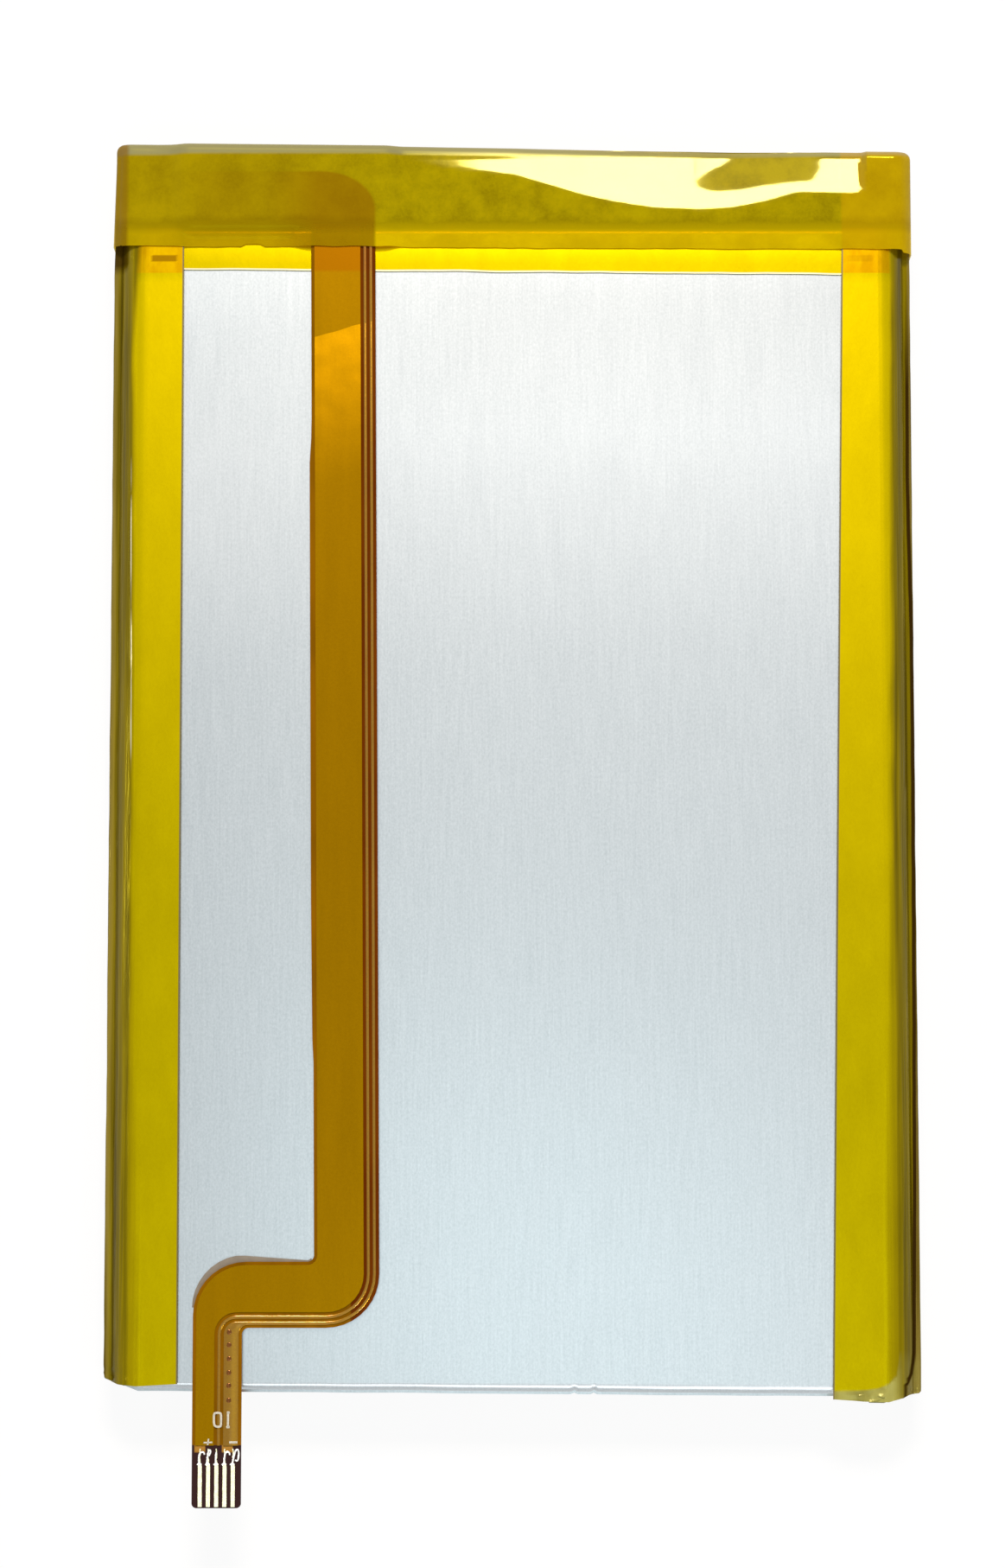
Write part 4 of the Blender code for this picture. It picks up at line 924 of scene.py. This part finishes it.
def end_tape_finish():
    """Half see-through olive amber with a smooth face, which shines yellow where the film is slack.

    It is brighter where it is stuck down and painted dark with shade where it is loose over the hollow, redder
    over the cable's head, and greyish along the far fold, partly with painted sheen.
    """
    material, tree, shader = start_finish("end_tape_amber")
    cloud = grain(tree, (420.0, 380.0, 420.0), 5.0, 0.62)
    fine = grain(tree, (6000.0, 6000.0, 6000.0), 2.0, 0.7)
    soft = grain(tree, (300.0, 260.0, 300.0), 1.5, 0.5)
    x, y, z = (object_axis(tree, axis) for axis in range(3))
    mottle = between(tree, cloud, 0.36, 0.64)
    stuck = blend_colour(tree, mottle, (0.55, 0.44, 0.0003), (0.69, 0.56, 0.0003))
    # painted shade: where the film is loose over the hollow terrace it is painted dark, for the shade below it
    loose_in_shade = blend_colour(tree, mottle, (0.205, 0.155, 0.0003), (0.335, 0.265, 0.0003))
    uneven = plus(tree, y, times(tree, cloud, 1.2 * MM))
    colour = blend_colour(tree, between(tree, uneven, BOTTOM + 72.6 * MM, BOTTOM + 73.4 * MM), stuck, loose_in_shade)
    colour = blend_colour(tree, between(tree, fine, 0.3, 0.7, 0.0, 0.2), colour, (0.50, 0.38, 0.001))
    side = calculate(tree, 'DIVIDE', plus(tree, x, 12.05 * MM), 3.5 * MM)
    up = calculate(tree, 'DIVIDE', calculate(tree, 'SUBTRACT', y, BOTTOM + 73.5 * MM), 2.5 * MM)
    side, up = calculate(tree, 'MAXIMUM', side, 0.0), calculate(tree, 'MAXIMUM', up, 0.0)
    reach = plus(tree, times(tree, side, side), times(tree, up, up))
    on_head = times(tree, between(tree, reach, 0.92, 1.04, 1.0, 0.0), between(tree, x, -21.5 * MM, -18.5 * MM))
    strength = between(tree, x, -15.5 * MM, -12.2 * MM, 0.18, 0.64)
    colour = blend_colour(tree, times(tree, on_head, strength), colour, (0.21, 0.075, 0.0003))
    colour = blend_colour(tree, between(tree, x, -16.0 * MM, -7.0 * MM, 0.35, 0.0), colour, (0.24, 0.145, 0.0003))
    # partly painted sheen: the far fold is the film's greyish colour, painted paler where it curves over the edge
    fold = times(tree, between(tree, y, BOTTOM + 77.05 * MM, BOTTOM + 77.25 * MM),
                 between(tree, z, 3.4 * MM, 4.2 * MM))
    colour = blend_colour(tree, fold, colour, (0.25, 0.235, 0.105))
    rim = between(tree, x, -24.25 * MM, -24.0 * MM, 1.0, 0.0)
    colour = blend_colour(tree, times(tree, rim, 0.7), colour, (0.20, 0.10, 0.003))
    corner = between(tree, x, 20.6 * MM, 20.75 * MM, 0.0, 0.35)
    colour = blend_colour(tree, corner, colour, (0.52, 0.27, 0.0005))
    tree.links.new(colour, shader.inputs["Base Color"])
    tree.links.new(between(tree, fold, 0.0, 1.0, 0.085, 0.35), shader.inputs["Roughness"])
    dull = times(tree, fold, between(tree, x, -8.0 * MM, -1.0 * MM, 1.0, 0.0))
    tree.links.new(between(tree, dull, 0.0, 1.0, 0.5, 0.1), shader.inputs["Specular IOR Level"])
    tint = blend_colour(tree, reading(tree, "slack"), (1.0, 0.92, 0.02), (1.0, 0.97, 0.30))
    tree.links.new(tint, shader.inputs["Specular Tint"])
    tree.links.new(relief(tree, soft, 0.012 * MM), shader.inputs["Normal"])
    clear = node(tree, "ShaderNodeBsdfTransparent", {"Color": (0.96, 0.80, 0.02, 1.0)})
    share = between(tree, y, BOTTOM + 72.4 * MM, BOTTOM + 73.2 * MM, 0.55, 0.87)
    mix = node(tree, "ShaderNodeMixShader", {0: share, 1: clear.outputs[0], 2: shader.outputs[0]})
    tree.links.new(mix.outputs[0], tree.nodes["Material Output"].inputs["Surface"])
    return material


# The sag, in mm: x from the middle of the cell, y from the bottom fold. The film falls away beyond
# BEND_LINE, and more steeply in the hollow between two lines. The face ends at FACE_END, the film at FOLD.
BEND_LINE = ((-9.0, 77.4), (-4.2, 76.2), (0.2, 75.75), (2.2, 75.17), (4.5, 74.5), (6.5, 74.05), (8.8, 73.7),
             (11.9, 73.55), (14.0, 73.7), (16.0, 74.1), (18.0, 74.7), (20.1, 74.65), (21.7, 74.6), (22.2, 75.0))
HOLLOW_LOW = ((11.2, 75.6), (11.5, 75.15), (12.2, 74.86), (13.3, 74.83), (14.8, 75.03), (15.7, 75.22),
              (17.4, 75.39), (18.7, 75.5), (19.5, 76.0), (19.6, 77.4))
HOLLOW_HIGH = ((11.2, 75.6), (11.9, 75.9), (13.2, 76.6), (14.0, 77.1), (14.6, 77.6))
FACE_END = 72.5
FOLD = 77.1


def fall(x, y):
    """How steeply the sagging film falls away at a place, in degrees."""
    if x > 22.3:
        return 4.0 * ramp(y, 74.5, 75.5)
    start = along(BEND_LINE, x)
    steep = 6.5 + 4.5 * ramp(x, -7.0, 2.0)
    angle = steep * ramp(y, start - 0.12, start + 0.06) + 1.0 * ramp(y, start - 2.0, start) * ramp(x, 0.0, 5.0)
    if 10.2 < x < 20.0:
        inside = ramp(y, along(HOLLOW_LOW, x) - 0.12, along(HOLLOW_LOW, x) + 0.12)
        inside *= 1.0 - ramp(y, along(HOLLOW_HIGH, x) - 0.15, along(HOLLOW_HIGH, x) + 0.15)
        angle += 3.6 * inside * (1.0 - ramp(x, 18.8, 19.9)) * ramp(x, 10.2, 12.8)
    return min(angle, 17.5)


def film_drop(x, y):
    """How far the film lies below its level over the cable's head, in mm."""
    def away(x_low, x_high, y_low, y_high):
        """Distance from a rectangle, or 0 inside it."""
        return math.hypot(max(x_low - x, 0.0, x - x_high), max(y_low - y, 0.0, y - y_high))
    head_step, tape_step = 0.27, 0.09
    off_head = min(away(-20.3, -8.1, 72.8, 79.0), away(-12.6, -8.1, 70.0, 73.0))
    held = 1.0 - ramp(off_head, 0.1, 1.3)
    held = held * held * (3.0 - 2.0 * held)
    on_sides = ramp(abs(x), 20.3, 20.8) * (1.0 - ramp(y, 72.0, 74.0))
    drop = head_step - max(head_step * held, tape_step * on_sides)
    steps = 24
    if x > -8.0 and y > FACE_END:
        width = (min(y, FOLD) - FACE_END) / steps
        falls = (fall(x, FACE_END + (index + 0.5) * width) for index in range(steps))
        drop += sum(math.tan(math.radians(angle)) for angle in falls) * width
    crease = (x + 21.18) - (y - 76.15) * (2.24 / 4.55)
    return drop + 0.10 * max(min(-crease, 2.0), 0.0) * ramp(-x, 20.0, 21.0)


def end_tape():
    """The cap of tape: ragged along its cut edge, sunk and faintly wrinkled where it is slack."""
    bm = copy_of("end_tape")
    low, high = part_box("end_tape")
    slice_up(bm, 0, low.x, high.x, 0.3 * MM, 3.0 * MM)
    slice_up(bm, 1, BOTTOM + 71.35 * MM, BOTTOM + FOLD * MM, 0.2 * MM, 4.0 * MM)
    slack = bm.verts.layers.float.new("slack")
    for vert in bm.verts:
        co = vert.co
        x, y = co.x / MM, (co.y - BOTTOM) / MM
        if co.z > 3.5 * MM:
            if y < 71.36 and co.z > 4.9 * MM:
                ragged = 0.045 * ripple((co.x, 0.0, 0.0), 1.3 * MM, 4.1)
                ragged += 0.05 * ripple((co.x, 0.0, 0.0), 5.0 * MM, 8.3)
                co.y = BOTTOM + (71.14 - 0.0047 * x + ragged) * MM
            vert[slack] = ramp(fall(x, y), 6.0, 9.0) * ramp(x, -7.0, -5.0) * ramp(y, 72.0, 73.0)
            drop = film_drop(x, y)
            wrinkle = 0.006 * ripple((co.x, co.y, 0.0), 2.2 * MM, 6.6) * ramp(drop, 0.0, 0.05)
            co.z -= ramp(co.z, 3.9 * MM, 4.7 * MM) * (drop + wrinkle) * MM
        narrow(co)
    return add_piece(bm, "end_amber_tape", end_tape_finish(), ["end_tape"])


end_tape()
